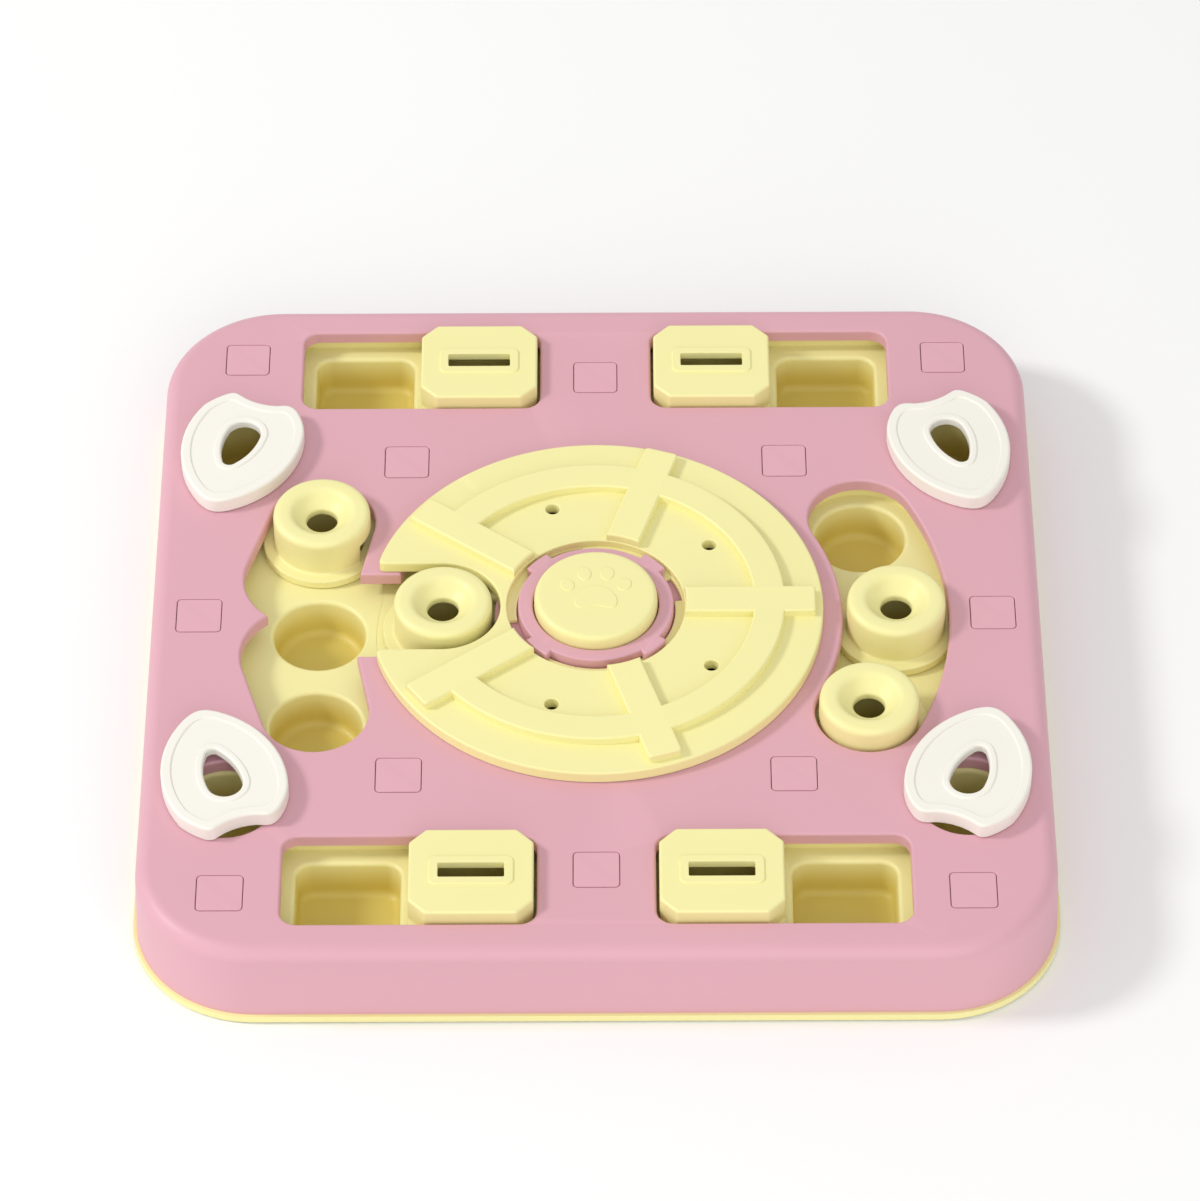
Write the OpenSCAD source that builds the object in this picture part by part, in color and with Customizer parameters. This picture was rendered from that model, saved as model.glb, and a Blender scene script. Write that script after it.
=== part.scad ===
// Treat puzzle board for dogs. A cover with windows lies over food cups. Sliders, pegs, leaf-shaped
// petals and a turntable hide the cups, and a squeaking paw button sits in the middle.
// Origin: middle of the board, on the floor. +Z is up and +Y points away from the button's paw heel.

/* [Board] */
// Width and depth of the base rim
board_w = 275; // [270:1:290]
// Radius of the corners of the base rim, seen from above
board_corner_r = 37; // [30:1:42]
// Height of the cover's top face above the floor
cover_top_z = 29; // [28:0.5:32]
// Thickness of the cover's top plate
cover_plate_t = 2.6; // [2.4:0.1:3]
// Thickness of the cover's side wall
cover_wall_t = 2.4; // [1.8:0.1:3]
// How far the side wall leans in from bottom to top
cover_draft = 0.9; // [0.2:0.1:1.5]
// Radius of the round edge between the cover's top and sides
cover_edge_r = 4.5; // [3:0.5:6]
// Depth of the wall around each window
window_wall_h = 4.25; // [4:0.05:4.6]
// Thickness of the wall around each window
window_wall_t = 1.8; // [1.2:0.1:2.2]
// Height of the base rim that shows under the cover
rim_h = 2.4; // [2:0.1:3]
// How far the rim stands out past the cover
rim_ledge = 1; // [0.5:0.1:2]
// Thickness of the base plate
base_plate_t = 2; // [1.5:0.1:2.2]

/* [Food cups] */
// Depth of the pan decks below the cover's top face
deck_drop = 9.1; // [8.8:0.1:9.6]
// Thickness of a pan deck
deck_t = 2; // [1.5:0.1:2.5]
// Depth of a food cup below its deck
cup_depth = 12.9; // [10:0.1:13]
// Inner radius of a round food cup
cup_r = 14; // [12:0.25:14.5]
// Thickness of a cup's wall
cup_wall_t = 1.8; // [1.2:0.1:2]
// Thickness of a cup's floor
cup_floor_t = 2; // [1.5:0.1:2.2]
// Radius of the round edge at a round cup's mouth
cup_mouth_r = 1.4; // [0.8:0.1:1.6]
// Inner width of a box cup, along the slider's travel
box_cup_w = 31; // [26:0.5:32]
// Inner depth of a box cup, across the slider's travel
box_cup_d = 28; // [22:0.5:28]
// Corner radius of a box cup
box_cup_corner_r = 5; // [3:0.5:7]

/* [Sliders] */
// Width of a slider, along its travel
slider_w = 36.7; // [34:0.1:38]
// Depth of a slider, across its travel
slider_d = 32.5; // [31:0.1:34]
// Size of the cut corners of a slider
slider_cut = 5; // [3:0.5:7]
// Height of a slider's top above the cover
slider_rise = 3.9; // [3:0.1:6]
// Travel of a slider
slider_travel = 36.5; // [34:0.5:38]
// Distance from the board's middle to the middle of a slider window, left or right
slider_window_x = 55; // [54:0.5:57]
// Distance from the board's middle to the middle of a slider window, front or back
slider_window_y = 107; // [105:0.5:108]
// Wall thickness of a slider
slider_wall_t = 2; // [1.5:0.1:2.5]
// Width of the scent slot
scent_slot_w = 19.5; // [16:0.5:22]
// Height of the scent slot
scent_slot_d = 5.4; // [4.5:0.1:6]
// Width of the raised border around the scent slot
scent_border_w = 2.8; // [2:0.1:4]
// Height of the raised border around the scent slot
scent_border_h = 0.5; // [0.3:0.1:1]

/* [Pegs] */
// Radius of a peg
peg_r = 15; // [14:0.1:15.2]
// Height of a peg's top above the cover
peg_rise = 6.5; // [5:0.1:8]
// Radius of the foot flange that keeps a peg under the cover
peg_flange_r = 18.5; // [18:0.1:18.8]
// Thickness of the foot flange
peg_flange_t = 2.2; // [1.5:0.1:3]
// Radius of the funnel at a peg's top
peg_funnel_r = 9.7; // [8:0.1:11]
// Depth of the funnel
peg_funnel_h = 4.4; // [3:0.1:6]
// Radius of the hole at the bottom of the funnel
peg_hole_r = 4.8; // [3:0.1:6]
// Wall thickness of a peg
peg_wall_t = 2; // [1.5:0.1:2.5]
// Radius of the round edge at a peg's top
peg_edge_r = 1.6; // [1:0.1:2]

/* [Left window] */
// Distance from the board's middle to the line of the left cups
left_line_x = 84.6; // [84.4:0.1:86]
// Distance between neighbouring cups of the left window
left_pitch = 38; // [37.8:0.1:38.4]
// Radius of the two lobes on the window's outer side
left_lobe_r = 20.5; // [20.4:0.1:20.8]
// Half width of the track that leads under the turntable
track_half_w = 17.1; // [16:0.1:17.4]

/* [Right window] */
// Radius of the circle that the right cups lie on
right_line_r = 91.5; // [91:0.1:92.5]
// Angle between neighbouring cups of the right window
right_step_deg = 26.4; // [25:0.1:27]

/* [Petals] */
// Distance from the board's middle to a corner cup, left or right
petal_cup_x = 110; // [109.6:0.1:111]
// Distance from the board's middle to a corner cup, front or back
petal_cup_y = 75; // [73:0.5:75.2]
// Length of a petal from its tip to its notch
petal_len = 49.4; // [47:0.2:51]
// Height of a petal
petal_h = 5.2; // [4.5:0.1:6]
// Thickness of a petal's top and skirt
petal_wall_t = 2.2; // [1.6:0.1:2.4]
// Radius of the hole in the cover under a petal
petal_window_r = 15; // [14.5:0.1:15.4]
// Radius of the pin that a petal turns on
petal_pin_r = 2.5; // [2:0.1:3]

/* [Turntable] */
// Radius of the turntable
disc_r = 69.3; // [68.5:0.1:69.5]
// Thickness of the turntable's plate
disc_t = 3.7; // [3:0.1:5]
// Height of the raised ring and spokes
rib_h = 2.8; // [1.5:0.1:4]
// Inner radius of the raised ring
ring_inner_r = 48.2; // [46:0.1:50]
// Width of the raised ring
ring_w = 9.5; // [6:0.1:11]
// Width of a raised spoke
spoke_w = 10.5; // [8:0.1:12]
// Distance from the middle to a spoke's outer end
spoke_end_r = 67; // [64:0.5:68]
// Half width of the turntable's slot
disc_slot_half_w = 17.9; // [17.6:0.1:18.2]
// Radius of the turntable's middle hole
disc_hole_r = 27.2; // [27:0.1:28]
// Thickness of the ledge inside the middle hole
disc_ledge_t = 1.2; // [1:0.1:1.5]
// Radius of a scent hole
scent_hole_r = 2.15; // [1.5:0.05:3]
// Distance from the middle to a scent hole
scent_hole_at = 43.1; // [41:0.1:45]

/* [Hub and button] */
// Outer radius of the hub collar
hub_r = 23.7; // [23.4:0.1:23.9]
// Height of the hub collar above the cover
hub_rise = 4.6; // [4:0.1:5]
// Radius of the button
button_r = 18.8; // [18:0.1:18.9]
// Height of the button above the cover
button_rise = 9; // [8:0.1:12]
// Travel of the button
button_travel = 5; // [3:0.5:6]
// Radius of the round edge at the button's top
button_edge_r = 3; // [2:0.1:4]
// Wall thickness of the button
button_wall_t = 2; // [1.5:0.1:2.5]
// Number of folds in the squeaker bellows
bellows_folds = 5; // [3:1:7]

/* [Fasteners and feet] */
// Width of a square cap
cap_w = 13.5; // [12:0.1:14]
// Thickness of a square cap
cap_t = 2.2; // [1.8:0.1:2.4]
// Radius of a screw's shank
screw_r = 1.5; // [1.2:0.1:1.8]
// Radius of a screw's head
screw_head_r = 3.2; // [2.8:0.1:3.4]
// Radius of a rubber foot
foot_r = 8; // [6:0.5:9]
// How far the feet hold the rim off the floor
foot_gap = 0.6; // [0.4:0.1:0.8]

/* [Hidden] */
$fn = 96;

// Clearances
slide_gap = 0.3; // between faces that slide over each other
shaft_gap = 0.06; // around a turning shaft, on the radius
seat_gap = 0.05; // around a pressed or screwed shank, on the radius
stack_gap = 0.1; // between pieces that are held between the base and the cover
tile_gap = 0.2; // between the cup tiles that a round pan is made of
cap_gap = 0.2; // around a square cap
window_side_gap = 0.75; // between a slider and its window, across the travel
window_end_gap = 0.9; // between a slider and its window, at each end of the travel
peg_side_gap = 1.3; // around a peg at the ends of the left window
peg_arc_gap = 1.2; // around a peg in the right window
peg_orbit_gap = 0.7; // around a peg that the turntable carries round
flange_gap = 0.4; // around a peg's foot flange
hub_gap = 0.5; // between the hub collar and what goes round it
overrun = 1; // how far a cut runs past the face it opens
touch_share = 0.999; // where a straight side meets a circle that it touches, over the circle's radius
band_end_share = 1.002; // round end of a bent band over half its width

pink = [0.87, 0.66, 0.71];
yellow = [0.96, 0.92, 0.66];
white = [0.97, 0.96, 0.93];
grey = [0.35, 0.35, 0.36];
steel = [0.7, 0.71, 0.73];

// Heights
rim_top_z = foot_gap + rim_h;
base_top_z = foot_gap + base_plate_t;
plate_under_z = cover_top_z - cover_plate_t;
window_under_z = cover_top_z - window_wall_h;
deck_z = cover_top_z - deck_drop;
deck_under_z = deck_z - deck_t;
cup_floor_z = deck_z - cup_depth;
cup_under_z = cup_floor_z - cup_floor_t;
moving_z = cover_top_z + slide_gap;
disc_top_z = moving_z + disc_t;
ledge_top_z = moving_z + disc_ledge_t;
rib_top_z = disc_top_z + rib_h;
hub_top_z = cover_top_z + hub_rise;
peg_top_z = cover_top_z + peg_rise;
slider_top_z = cover_top_z + slider_rise;
button_top_z = cover_top_z + button_rise;
flange_z = deck_z + slide_gap;

// Cover and base
cover_w = board_w - 2 * rim_ledge;
cover_corner_r = board_corner_r - rim_ledge;
inner_edge_r = 2; // round edge inside the cover
rib_gap = 0.6; // between the cover's wall and the locating rib, at the bottom
locating_rib_t = 1.8;
locating_rib_h = 5;
locating_w = cover_w - 2 * (cover_wall_t + rib_gap);
locating_corner_r = cover_corner_r - cover_wall_t - rib_gap;

// Screw places, left or right and front or back of the middle
corner_screw_at = [110.3, 111.9];
middle_screw_at = [58.9, 65.8];
side_screw_x = 121.1;
end_screw_y = 103.4;
screw_places = concat(
    [for (sx = [-1, 1], sy = [-1, 1]) [sx * corner_screw_at[0], sy * corner_screw_at[1]]],
    [for (sx = [-1, 1], sy = [-1, 1]) [sx * middle_screw_at[0], sy * middle_screw_at[1]]],
    [for (sx = [-1, 1]) [sx * side_screw_x, 0]],
    [for (sy = [-1, 1]) [0, sy * end_screw_y]]
);
cap_corner_r = 1.3;
cap_seat_t = 2.2; // plate left under a cap
cap_seat_rim = 1.8; // how far the seat stands out past the pocket
cap_floor_z = cover_top_z - cap_t;
cap_seat_w = cap_w + 2 * (cap_gap + cap_seat_rim);
screw_head_h = 2.2;
screw_head_gap = 0.4; // around a screw's head, on the radius
screw_floor_t = 3; // plastic that a cover screw clamps
screw_recess_h = 4.8; // from the cap's seat to the screw head's seat
screw_seat_z = cap_floor_z - screw_recess_h;
post_top_z = screw_seat_z - screw_floor_t;
screw_play = 0.25; // around a cover screw's shank in the cover, on the radius
boss_wall_t = 1.9;
boss_r = screw_head_r + screw_head_gap + boss_wall_t;
post_wall_t = 3;
post_r = screw_r + post_wall_t;
screw_len = 14;
pilot_spare = 1; // free depth past a screw's end
cross_w = 1; // width of the cross in a screw's head
cross_h = 1.2; // depth of the cross in a screw's head
cross_share = 1.3; // length of the cross over the head's radius

// Sliders and their windows
slider_window_w = slider_w + slider_travel + 2 * window_end_gap;
slider_window_d = slider_d + 2 * window_side_gap;
slider_window_corner_r = 5;
slider_rest_x = slider_window_x - slider_travel / 2;
slider_end_x = slider_window_x + slider_travel / 2;
rail_reach = 3.2; // how far a slider's rail reaches under the cover
rail_top_z = window_under_z - slide_gap;
slider_side_t = 3; // slider wall along the travel
slot_border_corner_r = 2;
slot_corner_r = 0.6;
slot_pocket_spare = 2; // how far the pocket reaches past the slot at each end

// Pans
pan_wall_t = 1.6;
pan_play = 0.2; // between a pan's wall and a window's wall
pan_wall_top_z = plate_under_z - stack_gap;
box_pan_w = slider_window_w + 2 * (window_wall_t + pan_play);
box_pan_d = slider_d + 2 * (rail_reach + slide_gap);
box_pan_corner_r = 3;
flange_way_r = peg_flange_r + flange_gap;

// Seats of the cups in the base
seat_step = 1.4;
seat_lip_t = 1.5;
seat_lip_h = 2;
cup_outer_r = cup_r + cup_wall_t;
seat_lip_z = cup_under_z + seat_lip_h;

// Left window, centre pan and turntable
inner_line_r = left_line_x - left_pitch;
centre_opening_r = inner_line_r + peg_r + peg_orbit_gap;
hub_flange_r = inner_line_r - peg_r - peg_orbit_gap;
left_end_r = peg_r + peg_side_gap;
left_end_share = 1.045; // window end over cup pitch
left_lobe_x_share = 1.0331; // lobe's middle over the cup line
left_lobe_y_share = 0.4237; // lobe's middle over the cup pitch
left_end_y = left_pitch * left_end_share;
left_lobe_x = left_line_x * left_lobe_x_share;
left_lobe_y = left_pitch * left_lobe_y_share;
lip_step = 4.1; // how far the window narrows towards the track
lip_x = left_line_x - left_end_r + lip_step;
flat_gap = 0.4; // between the flat of the left peg and the track's lips
peg_flat_at = left_line_x - lip_x - flat_gap;
left_pan_out = left_lobe_x + left_lobe_r + window_wall_t + pan_play;
left_pan_in = left_line_x - flange_way_r;
left_pan_half_d = left_end_y + left_end_r + window_wall_t + pan_play;
centre_pan_r = inner_line_r + flange_way_r;
centre_pan_outer_r = centre_pan_r + pan_wall_t;
centre_pan_hole_r = 26;
carried_cup_deg = [-108, -36, 36, 108, 180];

// Right window
right_half_w = peg_r + peg_arc_gap;
right_places_deg = [-right_step_deg, 0, right_step_deg];

// Hub and button
hub_lip_gap = 0.4; // around the button in the hub's lip
hub_bore_gap = 0.4; // around the button's foot in the hub's bore
button_foot_reach = 1.8; // how far the button's foot reaches under the lip
button_foot_h = 2;
hub_lip_h = 3.3;
hub_bore_r = button_r + button_foot_reach + hub_bore_gap;
hub_lip_r = button_r + hub_lip_gap;
hub_lip_z = hub_top_z - hub_lip_h;
hub_flange_t = 3.2;
hub_flange_z = cover_top_z - hub_flange_t;
lug_reach = 2.3;
lug_deg = 20;
lug_gap = 0.5; // between a lug and the turntable's ledge
lug_at_deg = 45;
hub_lift = 6.4; // height of the hub's bottom above the base plate
hub_floor_t = 2;
hub_under_z = base_top_z + hub_lift;
hub_floor_z = hub_under_z + hub_floor_t;
hub_screw_at = 15;
hub_screw_head_r = 2.5;
hub_screw_head_h = 1.6;
hub_screw_r = 1.1;
hub_screw_len = 7;
hub_post_r = 3.4;
squeak_hole_r = 2;
disc_ledge_r = hub_r + hub_gap;
notch_deg = 22;
notch_at_deg = 17.5;
notch_spare = 0.6; // how much further than a lug a notch reaches
notch_r = hub_r + lug_reach + notch_spare;
slot_web = 1.9; // plate left between the slot and the middle hole
ledge_lap = 0.5; // how far the ledge runs into the plate
spoke_step_deg = 72;
ring_open_deg = 72;
scent_holes_deg = [-108, -36, 36, 108];
button_roof_t = 2.4;
button_roof_z = button_top_z - button_roof_t;
button_foot_z = hub_lip_z - slide_gap - button_foot_h;

// Squeaker
bellows_r = 11.5;
bellows_fold = 2.2; // depth of a fold
bellows_wall_t = 1.1;
bellows_h = button_roof_z - hub_floor_z;
reed_r = 3;
reed_flange_r = 4.4;
reed_flange_t = 1.2;
reed_h = 5;
reed_bore_r = 0.8;

// Petals. The outline is made of arcs, each with its middle and radius as shares of the petal's
// length, counted from the corner cup's middle.
outer_arc_shares = [-0.285, -0.164, 0.678];
inner_arc_shares = [0.283, 0.012, 0.666];
outer_cap_shares = [-0.081, -0.115, 0.490];
inner_cap_shares = [0.045, -0.030, 0.427];
notch_arc_shares = [-0.223, 0.597, 0.378];
cap_start_share = 0.02;
drop_wide_shares = [0, -0.034, 0.107];
drop_narrow_shares = [0.083, -0.271, 0.038];
pin_place_shares = [0.152, -0.476];
pin_place = petal_len * pin_place_shares;
petal_collar_t = 2;
petal_boss_wall_t = 2;
petal_pin_head_r = 4.6;
petal_pin_head_t = 1.6;
pin_boss_wall_t = 2.2;
pin_boss_h = 3; // how far the pin's boss hangs under the cover's plate
pin_boss_z = plate_under_z - pin_boss_h;
pin_roof_t = 2; // petal left over the pin's end
petal_top_z = moving_z + petal_h;
pin_top_z = petal_top_z - pin_roof_t;
pin_r = petal_pin_r;
corner_cup_rim = 2.4; // how far a corner cup's rim reaches past its wall
corner_cup_top_z = window_under_z - stack_gap;

// Feet
foot_at = 101; // distance from the middle, left or right and front or back
foot_seat_t = 0.8; // how deep a foot sits in the base plate
foot_stem_r = 1.9;
foot_stem_h = 3;

// A rectangle with round corners
module round_rect(w, d, r) {
    square([w - 2 * r, d], center = true);
    square([w, d - 2 * r], center = true);
    for (sx = [-1, 1], sy = [-1, 1])
        translate([sx * (w / 2 - r), sy * (d / 2 - r)])
            circle(r);
}

// A slice of pie that points to the right
module slice(deg, reach) {
    half = reach * tan(deg / 2);
    polygon([[0, 0], [reach, -half], [reach, half]]);
}

// Two circles and the straight sides that touch both
module belt(a, a_r, b, b_r) {
    span = b - a;
    way = atan2(span[1], span[0]);
    open = acos((a_r - b_r) / norm(span));
    translate(a)
        circle(a_r);
    translate(b)
        circle(b_r);
    polygon([
        a + touch_share * a_r * [cos(way + open), sin(way + open)],
        a + touch_share * a_r * [cos(way - open), sin(way - open)],
        b + touch_share * b_r * [cos(way - open), sin(way - open)],
        b + touch_share * b_r * [cos(way + open), sin(way + open)]
    ]);
}

// Half of the section of the board's side: a leaning wall with a round top edge
module side_section(inner, r, low, high, lean, edge_r) {
    h = high - low;
    tilt = atan(lean / h);
    middle_x = r - lean * (h - edge_r) / h - edge_r / cos(tilt);
    middle_z = high - edge_r;
    translate([middle_x, middle_z])
        circle(edge_r);
    polygon([
        [inner, low],
        [r, low],
        [middle_x + touch_share * edge_r * cos(tilt), middle_z + touch_share * edge_r * sin(tilt)],
        [middle_x, middle_z],
        [middle_x, high],
        [inner, high]
    ]);
}

// A solid with a rounded square outline, leaning walls and a round top edge
module leaning_block(w, r, low, high, lean, edge_r) {
    reach = w / 2 - r;
    for (turn = [0 : 90 : 270])
        rotate(turn)
            translate([reach, reach])
                rotate_extrude(angle = 90)
                    side_section(0, r, low, high, lean, edge_r);
    for (turn = [0, 90])
        rotate(turn)
            rotate([90, 0, 0])
                linear_extrude(2 * reach, center = true)
                    for (flip = [0, 1])
                        mirror([flip, 0])
                            translate([reach, 0])
                                side_section(-reach, r, low, high, lean, edge_r);
}

// Raises a flat shape from one height to another
module between(low, high) {
    translate([0, 0, low])
        linear_extrude(high - low)
            children();
}

module at_corners() {
    for (sx = [-1, 1], sy = [-1, 1])
        translate([sx * foot_at, sy * foot_at])
            children();
}

// The shape in the right half at the back, turned over to one of the four corners
module flip_to(sx, sy) {
    mirror([sx < 0 ? 1 : 0, 0, 0])
        mirror([0, sy < 0 ? 1 : 0, 0])
            children();
}

// Window outlines in the cover. They are drawn larger by grow for the walls around them.
module slider_window(grow) {
    round_rect(slider_window_w + 2 * grow, slider_window_d + 2 * grow, slider_window_corner_r + grow);
}

module left_window(grow) {
    right_x = left_line_x - left_end_r - grow;
    lip_y = track_half_w + grow;
    intersection() {
        for (sy = [-1, 1])
            belt([-left_lobe_x, sy * left_lobe_y], left_lobe_r + grow,
                [-left_line_x, sy * left_end_y], left_end_r + grow);
        translate([-board_w - left_line_x, -board_w / 2])
            square(board_w);
    }
    for (sy = [-1, 1])
        translate([-left_line_x, sy * left_end_y])
            circle(left_end_r + grow);
    polygon([
        [-left_line_x, left_end_y],
        [-right_x, left_end_y],
        [-lip_x + grow, lip_y],
        [-inner_line_r, lip_y],
        [-inner_line_r, -lip_y],
        [-lip_x + grow, -lip_y],
        [-right_x, -left_end_y],
        [-left_line_x, -left_end_y]
    ]);
}

// A bent band around the board's middle with round ends, where the right pegs run
module arc_band(half_w) {
    difference() {
        intersection() {
            circle(right_line_r + half_w);
            slice(2 * right_step_deg, board_w);
        }
        circle(right_line_r - half_w);
    }
    for (turn = [-right_step_deg, right_step_deg])
        rotate(turn)
            translate([right_line_r, 0])
                circle(half_w * band_end_share);
}

module cover_windows(grow) {
    for (sx = [-1, 1], sy = [-1, 1]) {
        translate([sx * slider_window_x, sy * slider_window_y])
            slider_window(grow);
        translate([sx * petal_cup_x, sy * petal_cup_y])
            circle(petal_window_r + grow);
    }
    left_window(grow);
    circle(centre_opening_r + grow);
    arc_band(right_half_w + grow);
}

module pin_places() {
    for (sx = [-1, 1], sy = [-1, 1])
        flip_to(sx, sy)
            translate([petal_cup_x, petal_cup_y] + pin_place)
                children();
}

module screw_spots() {
    for (spot = screw_places)
        translate(spot)
            children();
}

module top_cover() color(pink) difference() {
    union() {
        difference() {
            leaning_block(cover_w, cover_corner_r, rim_top_z, cover_top_z, cover_draft, cover_edge_r);
            leaning_block(cover_w - 2 * cover_wall_t, cover_corner_r - cover_wall_t,
                rim_top_z - overrun, plate_under_z, cover_draft, inner_edge_r);
        }
        between(window_under_z, plate_under_z + cover_plate_t / 2)
            cover_windows(window_wall_t);
        screw_spots() {
            between(cap_floor_z - cap_seat_t, plate_under_z + cover_plate_t / 2)
                square(cap_seat_w, center = true);
            between(post_top_z, cap_floor_z)
                circle(boss_r);
        }
        pin_places()
            between(pin_boss_z, plate_under_z + cover_plate_t / 2)
                circle(pin_r + pin_boss_wall_t);
    }
    between(window_under_z - overrun, cover_top_z + overrun)
        cover_windows(0);
    screw_spots() {
        between(cap_floor_z, cover_top_z + overrun)
            round_rect(cap_w + 2 * cap_gap, cap_w + 2 * cap_gap, cap_corner_r + cap_gap);
        between(screw_seat_z, cap_floor_z + overrun)
            circle(screw_head_r + screw_head_gap);
        between(post_top_z - overrun, cap_floor_z)
            circle(screw_r + screw_play);
    }
    pin_places()
        between(pin_boss_z - overrun, cover_top_z + overrun)
            circle(pin_r + shaft_gap);
}

// Places of the box cups and the round cups, seen from above
module box_cup_spots() {
    for (sx = [-1, 1], sy = [-1, 1], x = [slider_rest_x, slider_end_x])
        translate([sx * x, sy * slider_window_y])
            children();
}

module round_cup_spots() {
    for (sx = [-1, 1], sy = [-1, 1])
        translate([sx * petal_cup_x, sy * petal_cup_y])
            children();
    left_cup_spots()
        children();
    centre_cup_spots()
        children();
    arc_cup_spots()
        children();
}

module left_cup_spots() {
    for (y = [-left_pitch, 0, left_pitch])
        translate([-left_line_x, y])
            children();
}

module centre_cup_spots() {
    for (turn = carried_cup_deg)
        rotate(turn)
            translate([inner_line_r, 0])
                children();
}

module arc_cup_spots() {
    for (turn = right_places_deg)
        rotate(turn)
            translate([right_line_r, 0])
                children();
}

// Outline of a box cup, drawn larger by grow
module box_cup_outline(grow) {
    round_rect(box_cup_w + 2 * grow, box_cup_d + 2 * grow, box_cup_corner_r + grow);
}

module base_shell() color(yellow) difference() {
    union() {
        between(foot_gap, base_top_z)
            round_rect(board_w, board_w, board_corner_r);
        between(foot_gap, rim_top_z)
            difference() {
                round_rect(board_w, board_w, board_corner_r);
                round_rect(locating_w - 2 * locating_rib_t, locating_w - 2 * locating_rib_t,
                    locating_corner_r - locating_rib_t);
            }
        between(base_top_z, rim_top_z + locating_rib_h)
            difference() {
                round_rect(locating_w, locating_w, locating_corner_r);
                round_rect(locating_w - 2 * locating_rib_t, locating_w - 2 * locating_rib_t,
                    locating_corner_r - locating_rib_t);
            }
        between(foot_gap, seat_lip_z) {
            round_cup_spots()
                circle(cup_outer_r + stack_gap + seat_lip_t);
            box_cup_spots()
                box_cup_outline(cup_wall_t + stack_gap + seat_lip_t);
        }
    }
    between(cup_under_z, seat_lip_z + overrun) {
        round_cup_spots()
            circle(cup_outer_r + stack_gap);
        box_cup_spots()
            box_cup_outline(cup_wall_t + stack_gap);
    }
    between(base_top_z, cup_under_z + overrun) {
        round_cup_spots()
            circle(cup_outer_r - seat_step);
        box_cup_spots()
            box_cup_outline(cup_wall_t - seat_step);
    }
    at_corners() {
        between(foot_gap - overrun, foot_gap + foot_seat_t)
            circle(foot_r + seat_gap);
        between(foot_gap, base_top_z + overrun)
            circle(foot_stem_r + seat_gap);
    }
}

// The posts that the cover is screwed to, moulded on the base plate
module screw_posts() color(yellow) screw_spots() difference() {
    between(base_top_z, post_top_z)
        circle(post_r);
    between(screw_seat_z - screw_len - pilot_spare, post_top_z + overrun)
        circle(screw_r + seat_gap);
}

// The posts that the hub collar is screwed to, moulded on the base plate
module hub_posts() color(yellow) hub_screw_spots() difference() {
    between(base_top_z, hub_under_z)
        circle(hub_post_r);
    between(hub_floor_z - hub_screw_len, hub_under_z + overrun)
        circle(hub_screw_r + seat_gap);
}

// Cuts out the room in a round cup whose mouth is at the given height
module round_cup_room(mouth_z) {
    translate([0, 0, cup_floor_z])
        cylinder(r = cup_r, h = mouth_z - cup_floor_z + overrun);
    rotate_extrude()
        difference() {
            translate([0, mouth_z - cup_mouth_r])
                square([cup_r + cup_mouth_r, cup_mouth_r + overrun]);
            translate([cup_r + cup_mouth_r, mouth_z - cup_mouth_r])
                circle(cup_mouth_r);
        }
}

module round_cup_body(top_z) {
    between(cup_under_z, top_z)
        circle(cup_outer_r);
}

module box_pan(sx, sy) color(yellow) translate([sx * slider_window_x, sy * slider_window_y])
difference() {
    union() {
        between(deck_under_z, pan_wall_top_z)
            round_rect(box_pan_w + 2 * pan_wall_t, box_pan_d + 2 * pan_wall_t,
                box_pan_corner_r + pan_wall_t);
        for (x = [-slider_travel / 2, slider_travel / 2])
            translate([x, 0])
                between(cup_under_z, deck_z)
                    box_cup_outline(cup_wall_t);
    }
    between(deck_z, pan_wall_top_z + overrun)
        round_rect(box_pan_w, box_pan_d, box_pan_corner_r);
    for (x = [-slider_travel / 2, slider_travel / 2])
        translate([x, 0])
            between(cup_floor_z, deck_z + overrun)
                box_cup_outline(0);
}

// Outline of the left pan, drawn larger by grow
module left_pan_outline(grow) {
    w = left_pan_out - left_pan_in;
    translate([-left_pan_in - w / 2, 0])
        round_rect(w + 2 * grow, 2 * (left_pan_half_d + grow), flange_way_r + grow);
}

// The way of the inner peg's flange between the centre pan and the left pan
module flange_way(low, high) {
    between(low, high)
        translate([-left_line_x, -flange_way_r])
            square([left_line_x - inner_line_r, 2 * flange_way_r]);
}

// A narrow slot through a pan, between two of its cup tiles
module tile_seam(length) {
    between(cup_under_z - overrun, pan_wall_top_z + overrun)
        square([length, tile_gap], center = true);
}

module left_pan() color(yellow) difference() {
    union() {
        between(deck_under_z, pan_wall_top_z)
            left_pan_outline(pan_wall_t);
        left_cup_spots()
            round_cup_body(deck_z);
    }
    between(deck_z, pan_wall_top_z + overrun)
        left_pan_outline(0);
    flange_way(deck_z, pan_wall_top_z + overrun);
    between(cup_under_z - overrun, pan_wall_top_z + overrun)
        circle(centre_pan_outer_r + stack_gap);
    left_cup_spots()
        round_cup_room(deck_z);
    for (side = [-1, 1])
        translate([-left_line_x, side * left_pitch / 2])
            tile_seam(left_pan_out);
}

module centre_pan() color(yellow) difference() {
    union() {
        between(deck_under_z, pan_wall_top_z)
            circle(centre_pan_outer_r);
        centre_cup_spots()
            round_cup_body(deck_z);
    }
    between(deck_z, pan_wall_top_z + overrun)
        circle(centre_pan_r);
    flange_way(deck_z, pan_wall_top_z + overrun);
    between(deck_under_z - overrun, deck_z + overrun)
        circle(centre_pan_hole_r);
    centre_cup_spots()
        round_cup_room(deck_z);
    for (turn = carried_cup_deg)
        rotate(turn + spoke_step_deg / 2)
            translate([inner_line_r, 0])
                tile_seam(inner_line_r);
}

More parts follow.
